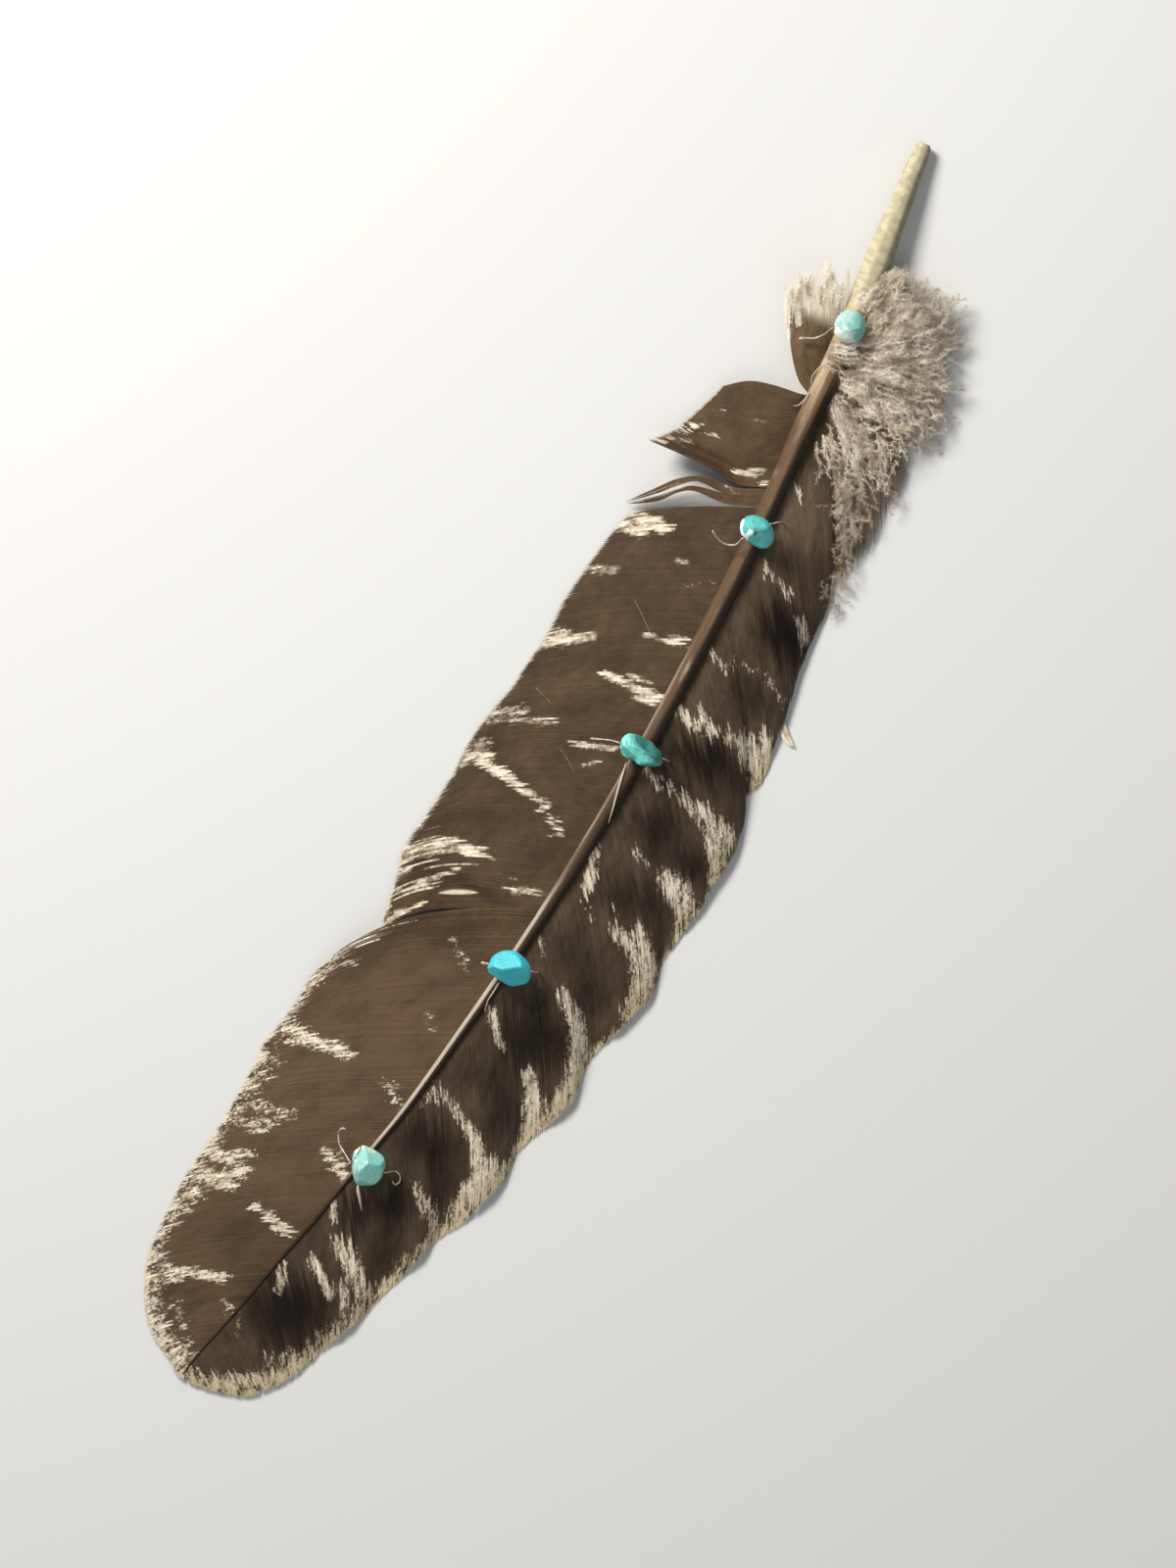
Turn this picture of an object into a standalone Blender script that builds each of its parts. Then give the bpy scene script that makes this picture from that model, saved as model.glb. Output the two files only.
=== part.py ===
"""Turkey tail feather dressed with five turquoise nuggets, each held on the shaft by one fine wire.

The feather lies flat, quill towards +Y and tip towards -Y, and is arched a little, so that it stands on the
edges of its two vanes. Lengths in the tables are millimetres; everything built is in metres.
"""

import math

import bmesh
import bpy
import numpy as np
from mathutils import Matrix, Vector

MM = 0.001
# The tables are written about the middle of the shaft's own length; this moves them to the row's origin.
ORIGIN = (0.346, -1.25)

VANE_THICK = 0.8      # the barbs with their barbules, locked into one sheet
WIRE_D = 0.45         # the tie wire
BORE_D = 1.3          # the hole drilled through each nugget
PIERCE_D = 1.7        # where a wire pushes the barbs apart
WAY_D = 1.9           # the way it takes through the down under the shaft
SHAFT_SIDES = 12
WIRE_SIDES = 8
WIRE_STEPS = 44       # rings along one wire

# The shaft, tip to quill: y, x, width, depth, height of its middle above the table
SHAFT = (
    (-150.5, -15.5, 0.9, 0.9, 1.5),
    (-140.0, -13.3, 1.0, 0.9, 2.5),
    (-120.0, -8.9, 1.1, 1.0, 4.3),
    (-100.0, -4.6, 1.4, 1.2, 6.0),
    (-85.0, -1.6, 1.7, 1.4, 7.1),
    (-60.0, 2.4, 2.1, 1.8, 8.5),
    (-30.0, 5.85, 2.7, 2.3, 9.5),
    (0.0, 7.8, 3.4, 2.9, 9.8),
    (30.0, 8.4, 4.0, 3.4, 9.4),
    (60.0, 8.0, 4.5, 3.9, 8.4),
    (80.0, 6.7, 4.9, 4.4, 7.4),
    (95.0, 5.6, 5.2, 4.8, 6.6),
    (110.0, 4.4, 5.5, 5.2, 5.6),
    (122.0, 3.5, 5.7, 5.4, 4.8),
    (135.0, 2.05, 4.5, 4.4, 3.6),
    (145.0, 0.95, 3.3, 3.2, 2.6),
    (150.5, 0.6, 2.6, 2.6, 2.0),
)

# A barb's root on the shaft (y), then where its tip is: x, y, height, and by how many degrees it bows. Heights
# under the table are where the vane would droop to, and it lies flat on the table there.
LEFT_UPPER = (
    (66.0, -18.2, 52.3, -0.6, 8), (60.0, -19.6, 47.5, -0.8, 8), (50.0, -21.0, 36.5, -1.0, 8), (40.0, -21.7, 26.0, -1.0, 8),
    (30.0, -21.9, 17.0, -1.0, 8), (20.0, -23.0, 7.5, -1.0, 8), (10.0, -24.8, -1.5, -1.0, 8), (0.0, -25.5, -11.0, -1.0, 8),
    (-8.0, -26.0, -20.0, -0.9, 8), (-15.0, -26.9, -28.5, -0.7, 8), (-21.0, -26.6, -35.5, -0.3, 8), (-26.0, -25.0, -43.0, 0.2, 8),
    (-30.0, -23.3, -49.0, 0.4, 8),
)
LEFT_LOWER = (
    (-31.0, -28.6, -57.0, 2.4, 16), (-35.0, -30.6, -62.0, 1.2, 12), (-42.0, -31.9, -70.0, 0.0, 8), (-52.0, -33.2, -79.0, -1.0, 8),
    (-62.0, -33.8, -88.0, -1.2, 8), (-75.0, -33.9, -100.0, -1.2, 8), (-88.0, -34.8, -112.0, -1.2, 8), (-100.0, -35.3, -122.0, -1.0, 8),
    (-112.0, -34.4, -131.5, -0.8, 8), (-122.0, -32.2, -138.5, -0.6, 8), (-131.0, -28.8, -144.0, -0.3, 8), (-138.0, -25.0, -148.0, 0.0, 8),
    (-144.0, -20.8, -150.7, 0.3, 8), (-148.0, -17.9, -152.1, 0.5, 8), (-150.5, -16.2, -152.7, 0.6, 8),
)
RIGHT = (
    (84.0, 27.0, 57.0, 0.4, 9), (75.0, 28.2, 48.0, 0.2, 9), (65.0, 28.8, 40.0, -0.2, 9), (57.0, 30.2, 33.5, -0.6, 9),
    (50.0, 31.6, 26.5, -0.8, 9), (45.0, 33.4, 17.0, -0.8, 9), (41.0, 32.2, 10.8, 0.6, 9), (38.0, 34.3, 6.0, -0.6, 9),
    (30.0, 35.4, -2.5, -1.0, 9), (20.0, 34.9, -12.0, -1.0, 9), (11.0, 33.9, -21.5, -0.6, 9), (6.0, 33.3, -28.0, 0.8, 9),
    (1.0, 34.3, -34.5, -0.6, 9), (-8.0, 32.6, -41.5, -1.0, 9), (-16.0, 30.2, -49.5, -0.6, 9), (-21.0, 29.0, -55.0, 0.8, 9),
    (-27.0, 30.0, -62.0, -0.6, 9), (-36.0, 28.0, -69.0, -1.0, 9), (-43.0, 25.0, -78.5, 0.8, 9), (-49.0, 25.2, -84.5, -0.8, 9),
    (-58.0, 23.0, -92.0, -1.0, 9), (-67.0, 19.2, -100.5, 0.6, 9), (-78.0, 17.2, -107.5, -1.0, 9), (-90.0, 13.8, -118.0, -1.0, 9),
    (-103.0, 10.5, -128.5, -0.8, 9), (-115.0, 7.8, -135.8, -0.6, 9), (-125.0, 5.0, -142.0, -0.4, 9), (-133.0, 1.6, -146.8, -0.2, 9),
    (-138.0, -1.2, -149.8, 0.0, 9), (-143.0, -5.5, -151.8, 0.3, 9), (-147.0, -10.5, -152.9, 0.5, 9), (-150.5, -15.0, -153.0, 0.6, 9),
)
# Barbs that have come unzipped and lie out of line. Each row is one barb: the points it runs through after its root.
LOBE_TOP = (    # bent back towards the quill
    (93.0, ((-1.2, 96.4, 6.0), (-6.4, 102.2, 6.2), (-9.8, 110.6, 6.4))),
    (97.0, ((-0.6, 100.6, 6.2), (-5.2, 106.6, 6.6), (-9.2, 114.0, 6.8))),
    (101.0, ((0.0, 104.4, 6.2), (-3.0, 110.6, 6.8), (-5.2, 117.8, 7.2))),
    (105.0, ((0.4, 107.4, 6.0), (-1.2, 111.4, 6.6), (-3.0, 115.6, 7.0))),
    (108.0, ((1.0, 110.2, 5.6), (0.6, 112.6, 6.0), (0.2, 115.0, 6.4))),
)
LOBE_WIDE = (   # the broad pointed lobe, its lower edge lifted
    (92.0, ((-1.6, 91.0, 6.4), (-9.0, 89.2, 4.4), (-13.6, 85.3, 2.2))),
    (86.0, ((-1.6, 84.6, 6.4), (-9.6, 82.0, 4.2), (-15.6, 79.6, 1.8))),
    (80.0, ((-1.4, 77.8, 6.6), (-9.8, 76.0, 4.6), (-17.4, 75.2, 2.4))),
    (75.0, ((-1.2, 72.6, 7.0), (-10.4, 71.4, 5.8), (-19.8, 71.2, 4.4))),
    (71.6, ((-1.0, 69.4, 7.8), (-11.0, 69.4, 7.8), (-21.9, 68.2, 7.6))),
)
STRAND_UPPER = (  # the thin strand below the lobe, in two halves that part and meet
    (70.8, ((-1.2, 67.6, 7.2), (-9.3, 66.2, 5.6), (-12.9, 63.0, 4.4), (-20.2, 54.4, 1.2))),
    (69.6, ((-1.2, 66.0, 7.2), (-8.9, 65.4, 5.6), (-12.2, 62.2, 4.4), (-19.8, 54.6, 1.2))),
)
STRAND_LOWER = (
    (69.2, ((-1.2, 65.7, 7.1), (-8.4, 64.7, 5.4), (-12.1, 61.7, 4.0), (-19.9, 54.9, 1.2))),
    (67.8, ((-1.2, 64.0, 7.1), (-8.2, 63.4, 5.4), (-12.3, 59.4, 4.0), (-19.3, 54.6, 1.2))),
)
SPUR = (        # a few barbs that stand out past the right edge: the points each runs through
    ((26.0, 33.6, 1.2), (31.0, 29.2, 0.5), (36.0, 25.6, 0.4)),
    ((27.0, 30.2, 1.2), (31.4, 27.2, 0.5), (35.6, 25.2, 0.4)),
)
# The down by the quill, as the outside of the whole tuft: root, tip x, y, height of its middle, thickness there
DOWN = (
    (121.0, 9.5, 124.5, 3.4, 2.4), (117.0, 15.5, 125.0, 3.2, 2.6), (112.0, 22.5, 125.0, 3.0, 2.6),
    (106.0, 26.5, 120.0, 2.8, 2.6), (100.0, 29.0, 113.5, 2.6, 2.6), (95.0, 31.0, 106.0, 2.5, 2.6),
    (90.0, 33.8, 99.0, 2.2, 2.4), (84.0, 31.0, 92.5, 2.2, 2.4), (78.0, 29.5, 86.0, 2.2, 2.4),
    (72.0, 30.5, 78.0, 2.0, 2.4), (67.0, 30.2, 70.0, 1.8, 2.2), (62.0, 28.8, 61.0, 1.6, 2.0),
)
DOWN_MIDDLE = 6.4     # thickness of the tuft between shaft and tips

# Nuggets: x, y, half sizes along x, y, z, the bore's direction in plan (degrees from +X), how far along +Y the wire
# crosses under it, flats as (direction in plan, elevation, distance from the middle), and the wire's free end
NUGGETS = (
    dict(at=(4.7, 108.5), half=(3.7, 3.8, 2.9), bore=32, under=1.9, way_under=True,
         flats=((70, 62, 2.5), (215, 40, 3.0), (-40, 45, 2.9), (150, 20, 3.3), (0, -60, 2.6), (120, -30, 3.3)),
         tail=((0.6, 105.4, -1.6), (-1.8, 103.4, -2.6), (-3.9, 101.6, -2.8), (-5.3, 101.2, -2.7)),
         dive=((9.3, 110.9),)),
    dict(at=(7.6, 61.9), half=(4.2, 3.1, 2.9), bore=62, under=1.7, way_under=True,
         flats=((100, 58, 2.5), (-50, 48, 2.6), (190, 40, 3.2), (240, 15, 3.0), (20, 10, 3.9), (60, -50, 2.7)),
         tail=((4.9, 57.3, -0.6), (3.6, 56.6, -1.6), (2.2, 56.4, -1.9), (0.5, 56.9, -1.8), (-0.9, 57.7, -1.4)),
         dive=((11.9, 65.9),)),
    dict(at=(8.0, 9.7), half=(5.5, 3.1, 2.8), bore=8, under=1.9, way_under=False,
         flats=((95, 40, 2.2), (-85, 50, 2.5), (175, 35, 4.3), (-20, 30, 4.6), (130, 10, 3.8), (-90, 0, 2.9), (10, -50, 3.2)),
         tail=((1.0, 8.7, -1.4), (-0.9, 7.9, -2.6), (-3.0, 7.0, -3.0)),
         dive=((14.4, 10.6),)),
    dict(at=(4.85, -43.3), half=(4.95, 3.6, 3.0), bore=18, under=-2.0, way_under=False,
         flats=((115, 62, 2.55), (-62, 52, 2.6), (-90, 4, 3.3), (178, 30, 4.1), (45, 8, 4.2), (-20, 12, 4.5), (60, -55, 2.9)),
         tail=((-1.1, -45.2, -0.4),),
         dive=((11.0, -41.3),)),
    dict(at=(-2.25, -94.4), half=(4.2, 4.4, 3.0), bore=2, under=2.6, way_under=False,
         flats=((150, 55, 2.7), (-25, 60, 2.6), (-55, 15, 3.8), (-125, 15, 3.9), (170, 10, 3.9), (40, 20, 3.8), (95, 25, 4.0), (20, -60, 2.8)),
         tail=((-7.4, -94.5, -0.9), (-9.0, -93.9, -2.0), (-10.3, -92.6, -2.2), (-10.9, -90.9, -1.8), (-10.4, -89.5, -1.2)),
         dive=((4.6, -92.9), (6.1, -93.6), (5.9, -95.4), (4.4, -95.6), (3.5, -94.6))),
)

BROWN = (0.12, 0.08, 0.05)
TURQUOISE = (0.12, 0.56, 0.55)
SILVER = (0.72, 0.70, 0.66)


def through(rows, at):
    """A smooth curve through rows of (position, values...), read at each position in at."""
    rows = np.array(sorted(rows), float)
    at = np.clip(np.asarray(at, float), rows[0, 0], rows[-1, 0])
    k, v = rows[:, 0], rows[:, 1:]
    slope = np.gradient(v, k, axis=0)
    i = np.clip(np.searchsorted(k, at) - 1, 0, len(k) - 2)
    h = (k[i + 1] - k[i])[:, None]
    t = ((at - k[i]) / (k[i + 1] - k[i]))[:, None]
    return ((2 * t**3 - 3 * t**2 + 1) * v[i] + (t**3 - 2 * t**2 + t) * h * slope[i]
            + (-2 * t**3 + 3 * t**2) * v[i + 1] + (t**3 - t**2) * h * slope[i + 1])


def shaft_at(y):
    """x, width, depth, height of the shaft's middle at one y."""
    return through(SHAFT, [y])[0]


def along(points, n):
    """n points spaced evenly by length on a smooth line through the given ones."""
    p = np.array(points, float)
    ends = np.vstack([2 * p[0] - p[1], p, 2 * p[-1] - p[-2]])
    out = []
    for a, b, c, d in zip(ends, ends[1:], ends[2:], ends[3:]):
        for t in np.linspace(0, 1, 24, endpoint=False):
            out.append(0.5 * (2 * b + (c - a) * t + (2 * a - 5 * b + 4 * c - d) * t**2 + (3 * b - a - 3 * c + d) * t**3))
    out = np.array(out + [p[-1]])
    gone = np.concatenate([[0], np.cumsum(np.linalg.norm(np.diff(out, axis=0), axis=1))])
    return np.stack([np.interp(np.linspace(0, gone[-1], n), gone, out[:, k]) for k in range(3)], axis=1)


def root_of(y, side):
    """Where a barb leaves the shaft: inside it, a little under its middle, so that the shaft stands proud."""
    x, width, depth, height = shaft_at(y)
    return np.array([x + side * (width / 2 - 0.75 if width > 2.2 else -0.1), y, height - 0.08 * depth])


def bowed(root, tip, side, bow, n):
    """A barb of a closed vane: it leaves the shaft flatter than its chord and ends steeper, and it droops like an eave."""
    tip = tip[:3]
    chord = tip[:2] - root[:2]
    length, angle = np.linalg.norm(chord), math.atan2(chord[1], chord[0])
    turn = math.radians(bow) * side
    a = root[:2] + length / 3 * np.array([math.cos(angle + turn), math.sin(angle + turn)])
    b = tip[:2] - length / 3 * np.array([math.cos(angle - turn), math.sin(angle - turn)])
    t = np.interp(np.linspace(0, 1, n), np.linspace(0, 1, 7), (0, 0.18, 0.38, 0.58, 0.76, 0.89, 1))[:, None]
    flat = (1 - t) ** 3 * root[:2] + 3 * (1 - t) ** 2 * t * a + 3 * (1 - t) * t**2 * b + t**3 * tip[:2]
    fall = root[2] + (tip[2] - root[2]) * (0.72 * t + 0.28 * t**2)
    return np.hstack([flat, fall])


def vane_grid(rows, side, first, last, step, across):
    """Barbs of a closed vane, from root y first to last."""
    roots = np.linspace(first, last, max(2, int(round(abs(first - last) / step)) + 1))
    tips = through(rows, roots)
    return np.array([bowed(root_of(y, side), tip, side, tip[3], across) for y, tip in zip(roots, tips)])


def lobe_grid(rows, side, count, across):
    """Barbs of an unzipped group, between its first and last rows."""
    lines = [along([root_of(y, side), *points], across) for y, points in rows]
    keys = np.array([y for y, _ in rows])
    want = np.linspace(keys[0], keys[-1], count)
    order = np.argsort(keys)
    stack = np.array(lines)[order]
    return np.array([[[np.interp(w, keys[order], stack[:, j, k]) for k in range(3)] for j in range(across)] for w in want])


def new_object(name, mesh, colour, roughness=0.5, metallic=0.0):
    obj = bpy.data.objects.new(name, mesh)
    bpy.context.scene.collection.objects.link(obj)
    material = bpy.data.materials.new(name)
    material.use_nodes = True
    shader = material.node_tree.nodes["Principled BSDF"]
    shader.inputs["Base Color"].default_value = (*colour, 1)
    shader.inputs["Roughness"].default_value = roughness
    shader.inputs["Metallic"].default_value = metallic
    obj.data.materials.append(material)
    return obj


def helper(obj):
    obj.hide_render = True
    obj.display_type = "WIRE"
    return obj


def placed(points):
    return [((x - ORIGIN[0]) * MM, (y - ORIGIN[1]) * MM, z * MM) for x, y, z in points]


def sheet_solid(name, grid, thick):
    """A closed sheet about a grid of middle points, flat where it lies on the table."""
    rows, across = grid.shape[:2]
    thick = np.broadcast_to(thick, (rows, across))
    middle = np.maximum(grid[:, :, 2], thick / 2)
    top, under = grid.copy(), grid.copy()
    top[:, :, 2], under[:, :, 2] = middle + thick / 2, np.maximum(middle - thick / 2, 0.0)
    under[:, :, 2][under[:, :, 2] < 0.02] = 0.0
    bm = bmesh.new()
    tops = [[bm.verts.new(p) for p in placed(row)] for row in top]
    unders = [[bm.verts.new(p) for p in placed(row)] for row in under]
    for i in range(rows - 1):
        for j in range(across - 1):
            bm.faces.new((tops[i][j], tops[i + 1][j], tops[i + 1][j + 1], tops[i][j + 1]))
            bm.faces.new((unders[i][j], unders[i][j + 1], unders[i + 1][j + 1], unders[i + 1][j]))
    for i in range(rows - 1):
        for j in (0, across - 1):
            bm.faces.new((tops[i][j], unders[i][j], unders[i + 1][j], tops[i + 1][j]))
    for j in range(across - 1):
        for i in (0, rows - 1):
            bm.faces.new((tops[i][j], tops[i][j + 1], unders[i][j + 1], unders[i][j]))
    bmesh.ops.recalc_face_normals(bm, faces=bm.faces)
    bmesh.ops.triangulate(bm, faces=bm.faces)
    mesh = bpy.data.meshes.new(name)
    bm.to_mesh(mesh)
    bm.free()
    return mesh


def shaft_mesh():
    """The shaft lofted from the tip to the cut quill."""
    ys = np.concatenate([np.linspace(-150.5, 90, 26), np.linspace(98, 145, 7), [150.5]])
    rings = through(SHAFT, ys)
    bm = bmesh.new()
    loops = []
    for y, (x, width, depth, height) in zip(ys, rings):
        turn = [2 * math.pi * (k + 0.5) / SHAFT_SIDES for k in range(SHAFT_SIDES)]
        ring = [(x + width / 2 * math.cos(a), y, height + depth / 2 * math.sin(a)) for a in turn]
        loops.append([bm.verts.new(p) for p in placed(ring)])
    for a, b in zip(loops, loops[1:]):
        for k in range(SHAFT_SIDES):
            n = (k + 1) % SHAFT_SIDES
            bm.faces.new((a[k], a[n], b[n], b[k]))
    bm.faces.new(loops[0])
    bm.faces.new(loops[-1])
    bmesh.ops.recalc_face_normals(bm, faces=bm.faces)
    mesh = bpy.data.meshes.new("feather")
    bm.to_mesh(mesh)
    bm.free()
    return mesh


def nugget_centre(n):
    x, y = n["at"]
    _, _, depth, height = shaft_at(y)
    return np.array([x, y, height + depth / 2 + 0.5 + n["half"][2]])


def nugget_radius(n, direction):
    """Distance from a nugget's middle to its surface: an ellipsoid, cut by its flats with worn edges."""
    power = 16
    d = np.asarray(direction, float)
    total = (np.linalg.norm(d / np.array(n["half"])) ** power)
    for plan, rise, far in n["flats"]:
        p, r = math.radians(plan), math.radians(rise)
        toward = d @ np.array([math.cos(p) * math.cos(r), math.sin(p) * math.cos(r), math.sin(r)])
        total += max(0.0, toward / far) ** power
    return total ** (-1 / power)


def cylinder(name, start, end, diameter, sides=16):
    """A helper cylinder between two points, in millimetres."""
    start, end = Vector(placed([start])[0]), Vector(placed([end])[0])
    run = end - start
    bm = bmesh.new()
    bmesh.ops.create_cone(bm, cap_ends=True, cap_tris=False, segments=sides, radius1=diameter / 2 * MM,
                          radius2=diameter / 2 * MM, depth=run.length)
    bm.transform(Matrix.Translation((start + end) / 2) @ run.to_track_quat("Z", "Y").to_matrix().to_4x4())
    mesh = bpy.data.meshes.new(name)
    bm.to_mesh(mesh)
    bm.free()
    return helper(new_object(name, mesh, (0.5, 0.5, 0.5)))


def boolean(obj, other, operation):
    modifier = obj.modifiers.new(other.name, "BOOLEAN")
    modifier.operation, modifier.solver, modifier.object = operation, "EXACT", other


def mouths(n):
    """The two ends of a nugget's bore."""
    centre, a = nugget_centre(n), math.radians(n["bore"])
    way = np.array([math.cos(a), math.sin(a), 0.0])
    return centre - way * nugget_radius(n, -way), centre + way * nugget_radius(n, way), way


def vane_height(x, y, side):
    """About how high the vane is at a point near the shaft."""
    sx, width, depth, height = shaft_at(y)
    return height - 0.08 * depth - 0.27 * max(0.0, abs(x - sx) - width / 2)


def wire_route(n):
    """One wire: free end, through the bore, down past the shaft's right side, under it, up on the left, over the
    shaft under the nugget, and cut short on the right."""
    left, right, way = mouths(n)
    centre = nugget_centre(n)
    points = [np.array([x, y, centre[2] + dz]) for x, y, dz in reversed(n["tail"])]
    points += [left - 0.5 * way, left + 0.8 * way, right - 0.8 * way, right + 0.5 * way]
    dive = n["dive"]
    for x, y in dive[:-1]:
        points.append(np.array([x, y, vane_height(x, y, 1) + 1.5]))
    x, y = dive[-1]
    low = vane_height(x, y, 1)
    points.append(np.array([x - 0.15, y, (centre[2] + low) / 2 + 0.6]) if len(dive) == 1 else np.array([x, y, low + 1.0]))
    points += [np.array([x, y, low]), np.array([x - 0.1, y, low - 1.3])]
    cross = n["at"][1] + n["under"]
    sx, width, depth, height = shaft_at((y + cross) / 2)
    points.append(np.array([sx, (y + cross) / 2, height - depth / 2 - 0.75]))
    sx, width, depth, height = shaft_at(cross)
    out = sx - width / 2 - 1.35
    low = vane_height(out, cross, -1)
    points += [np.array([out + 0.15, cross, low - 1.2]), np.array([out, cross, low + 0.1]),
               np.array([out + 0.5, cross, height + depth / 2 - 0.1]), np.array([sx - width / 4, cross, height + depth / 2 + 0.42]),
               np.array([sx + width / 4, cross, height + depth / 2 + 0.42]), np.array([sx + width / 2 + 0.5, cross, height + depth / 2 - 0.1])]
    return points, (out, cross), (x, y)


def make_wire(name, n):
    """A round wire swept along its route, its free end balled."""
    points, _, _ = wire_route(n)
    line = [Vector(p) for p in along(points, WIRE_STEPS)]
    bm = bmesh.new()
    loops, side = [], None
    for k, at in enumerate(line):
        ahead = (line[min(k + 1, len(line) - 1)] - line[max(k - 1, 0)]).normalized()
        side = ahead.orthogonal() if side is None else side - ahead * side.dot(ahead)
        side.normalize()
        other = ahead.cross(side)
        r = WIRE_D / 2 * {0: 1.0, 1: 1.7, 2: 1.3}.get(k, 1.0)
        turn = [2 * math.pi * j / WIRE_SIDES for j in range(WIRE_SIDES)]
        loops.append([bm.verts.new(p) for p in placed([at + r * (math.cos(a) * side + math.sin(a) * other) for a in turn])])
    for a, b in zip(loops, loops[1:]):
        for j in range(WIRE_SIDES):
            n2 = (j + 1) % WIRE_SIDES
            bm.faces.new((a[j], a[n2], b[n2], b[j]))
    bm.faces.new(loops[0])
    bm.faces.new(loops[-1])
    bmesh.ops.recalc_face_normals(bm, faces=bm.faces)
    mesh = bpy.data.meshes.new(name)
    bm.to_mesh(mesh)
    bm.free()
    return new_object(name, mesh, SILVER, 0.3, 1.0)


def make_nugget(name, n):
    bm = bmesh.new()
    bmesh.ops.create_icosphere(bm, subdivisions=3, radius=1.0)
    centre = nugget_centre(n)
    for v in bm.verts:
        d = np.array(v.co) / v.co.length
        v.co = placed([centre + d * nugget_radius(n, d)])[0]
    mesh = bpy.data.meshes.new(name)
    bm.to_mesh(mesh)
    bm.free()
    mesh.shade_smooth()
    stone = new_object(name, mesh, TURQUOISE, 0.42)
    thin = stone.modifiers.new("fewer faces", "DECIMATE")
    thin.ratio = 0.32
    left, right, way = mouths(n)
    boolean(stone, cylinder(name + "_drill", left - 2 * way, right + 2 * way, BORE_D, 10), "DIFFERENCE")
    return stone


def make_feather():
    feather = new_object("feather", shaft_mesh(), BROWN, 0.6)
    down_roots = np.linspace(DOWN[0][0], DOWN[-1][0], 13)
    tips = through(DOWN, down_roots)
    across = 7
    down = np.array([bowed(root_of(y, 1) - np.array([0.6, 0, 0.6]), tip, 1, 6, across) for y, tip in zip(down_roots, tips)])
    t = np.linspace(0, 1, across)
    swell = 2.2 + (DOWN_MIDDLE - 2.2) * np.sin(np.pi * np.clip(t, 0, 1)) ** 1.2
    thick = np.array([np.where(t > 0.7, np.interp(t, [0.7, 1], [swell[4], tip[3]]), swell) for tip in tips])
    # the tuft tapers to its first and last barbs
    thick[0], thick[-1] = thick[0] * 0.55, thick[-1] * 0.55
    down[:, :, 2] = np.maximum(down[:, :, 2], thick / 2)
    pieces = {
        "vane_left_upper": sheet_solid("vane_left_upper", vane_grid(LEFT_UPPER, -1, 66.0, -30.0, 9.0, 7), VANE_THICK),
        "vane_left_lower": sheet_solid("vane_left_lower", vane_grid(LEFT_LOWER, -1, -31.0, -150.5, 8.5, 7), VANE_THICK),
        "vane_right": sheet_solid("vane_right", vane_grid(RIGHT, 1, 84.0, -150.5, 6.5, 7), VANE_THICK),
        "lobe_top": sheet_solid("lobe_top", lobe_grid(LOBE_TOP, -1, 5, 6), VANE_THICK),
        "lobe_wide": sheet_solid("lobe_wide", lobe_grid(LOBE_WIDE, -1, 7, 6), VANE_THICK),
        "strand_upper": sheet_solid("strand_upper", lobe_grid(STRAND_UPPER, -1, 2, 9), VANE_THICK),
        "strand_lower": sheet_solid("strand_lower", lobe_grid(STRAND_LOWER, -1, 2, 9), VANE_THICK),
        "spur": sheet_solid("spur", np.array([along(line, 4) for line in SPUR]), VANE_THICK),
        "down": sheet_solid("down", down, thick),
    }
    for name, mesh in pieces.items():
        boolean(feather, helper(new_object(name, mesh, BROWN)), "UNION")
    for k, n in enumerate(NUGGETS, 1):
        _, up, down_at = wire_route(n)
        for side, (x, y) in (("l", up), ("r", down_at)):
            _, _, depth, height = shaft_at(y)
            boolean(feather, cylinder(f"pierce_{k}{side}", (x, y, height - 5.5), (x, y, height + 3.5), PIERCE_D, 10), "DIFFERENCE")
        if n["way_under"]:
            x, y = down_at
            sx, _, depth, height = shaft_at(y)
            low = vane_height(x, y, 1) - 1.35
            boolean(feather, cylinder(f"way_{k}", (x, y, low - 0.2), (sx, y, low - 1.0), WAY_D, 10), "DIFFERENCE")
    return feather


for old in list(bpy.data.objects):
    bpy.data.objects.remove(old, do_unlink=True)

make_feather()
for number, nugget in enumerate(NUGGETS, 1):
    make_nugget(f"turquoise_nugget_{number}", nugget)
    make_wire(f"tie_wire_{number}", nugget)
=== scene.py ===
import math

import bmesh
import bpy
import numpy as np
from mathutils import Matrix, Vector


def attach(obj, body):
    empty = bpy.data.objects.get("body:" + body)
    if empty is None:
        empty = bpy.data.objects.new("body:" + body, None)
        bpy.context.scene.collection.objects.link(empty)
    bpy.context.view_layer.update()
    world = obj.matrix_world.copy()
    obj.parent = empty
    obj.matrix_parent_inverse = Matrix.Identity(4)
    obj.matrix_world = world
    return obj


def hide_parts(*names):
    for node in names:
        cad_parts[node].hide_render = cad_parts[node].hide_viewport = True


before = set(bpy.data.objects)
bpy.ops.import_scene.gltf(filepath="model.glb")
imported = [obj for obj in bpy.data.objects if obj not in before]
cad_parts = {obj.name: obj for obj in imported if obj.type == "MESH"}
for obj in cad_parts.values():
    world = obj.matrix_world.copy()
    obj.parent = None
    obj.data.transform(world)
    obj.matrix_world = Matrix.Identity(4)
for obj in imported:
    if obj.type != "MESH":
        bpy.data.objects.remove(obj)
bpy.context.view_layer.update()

# Tables are in millimetres about the middle of the shaft's own length, as in the solids; this moves them to the row.
ORIGIN = np.array([0.346, -1.25, 0.0])
MM = 0.001
WIRE_D = 0.36


# ---------------------------------------------------------------- numbers

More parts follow.
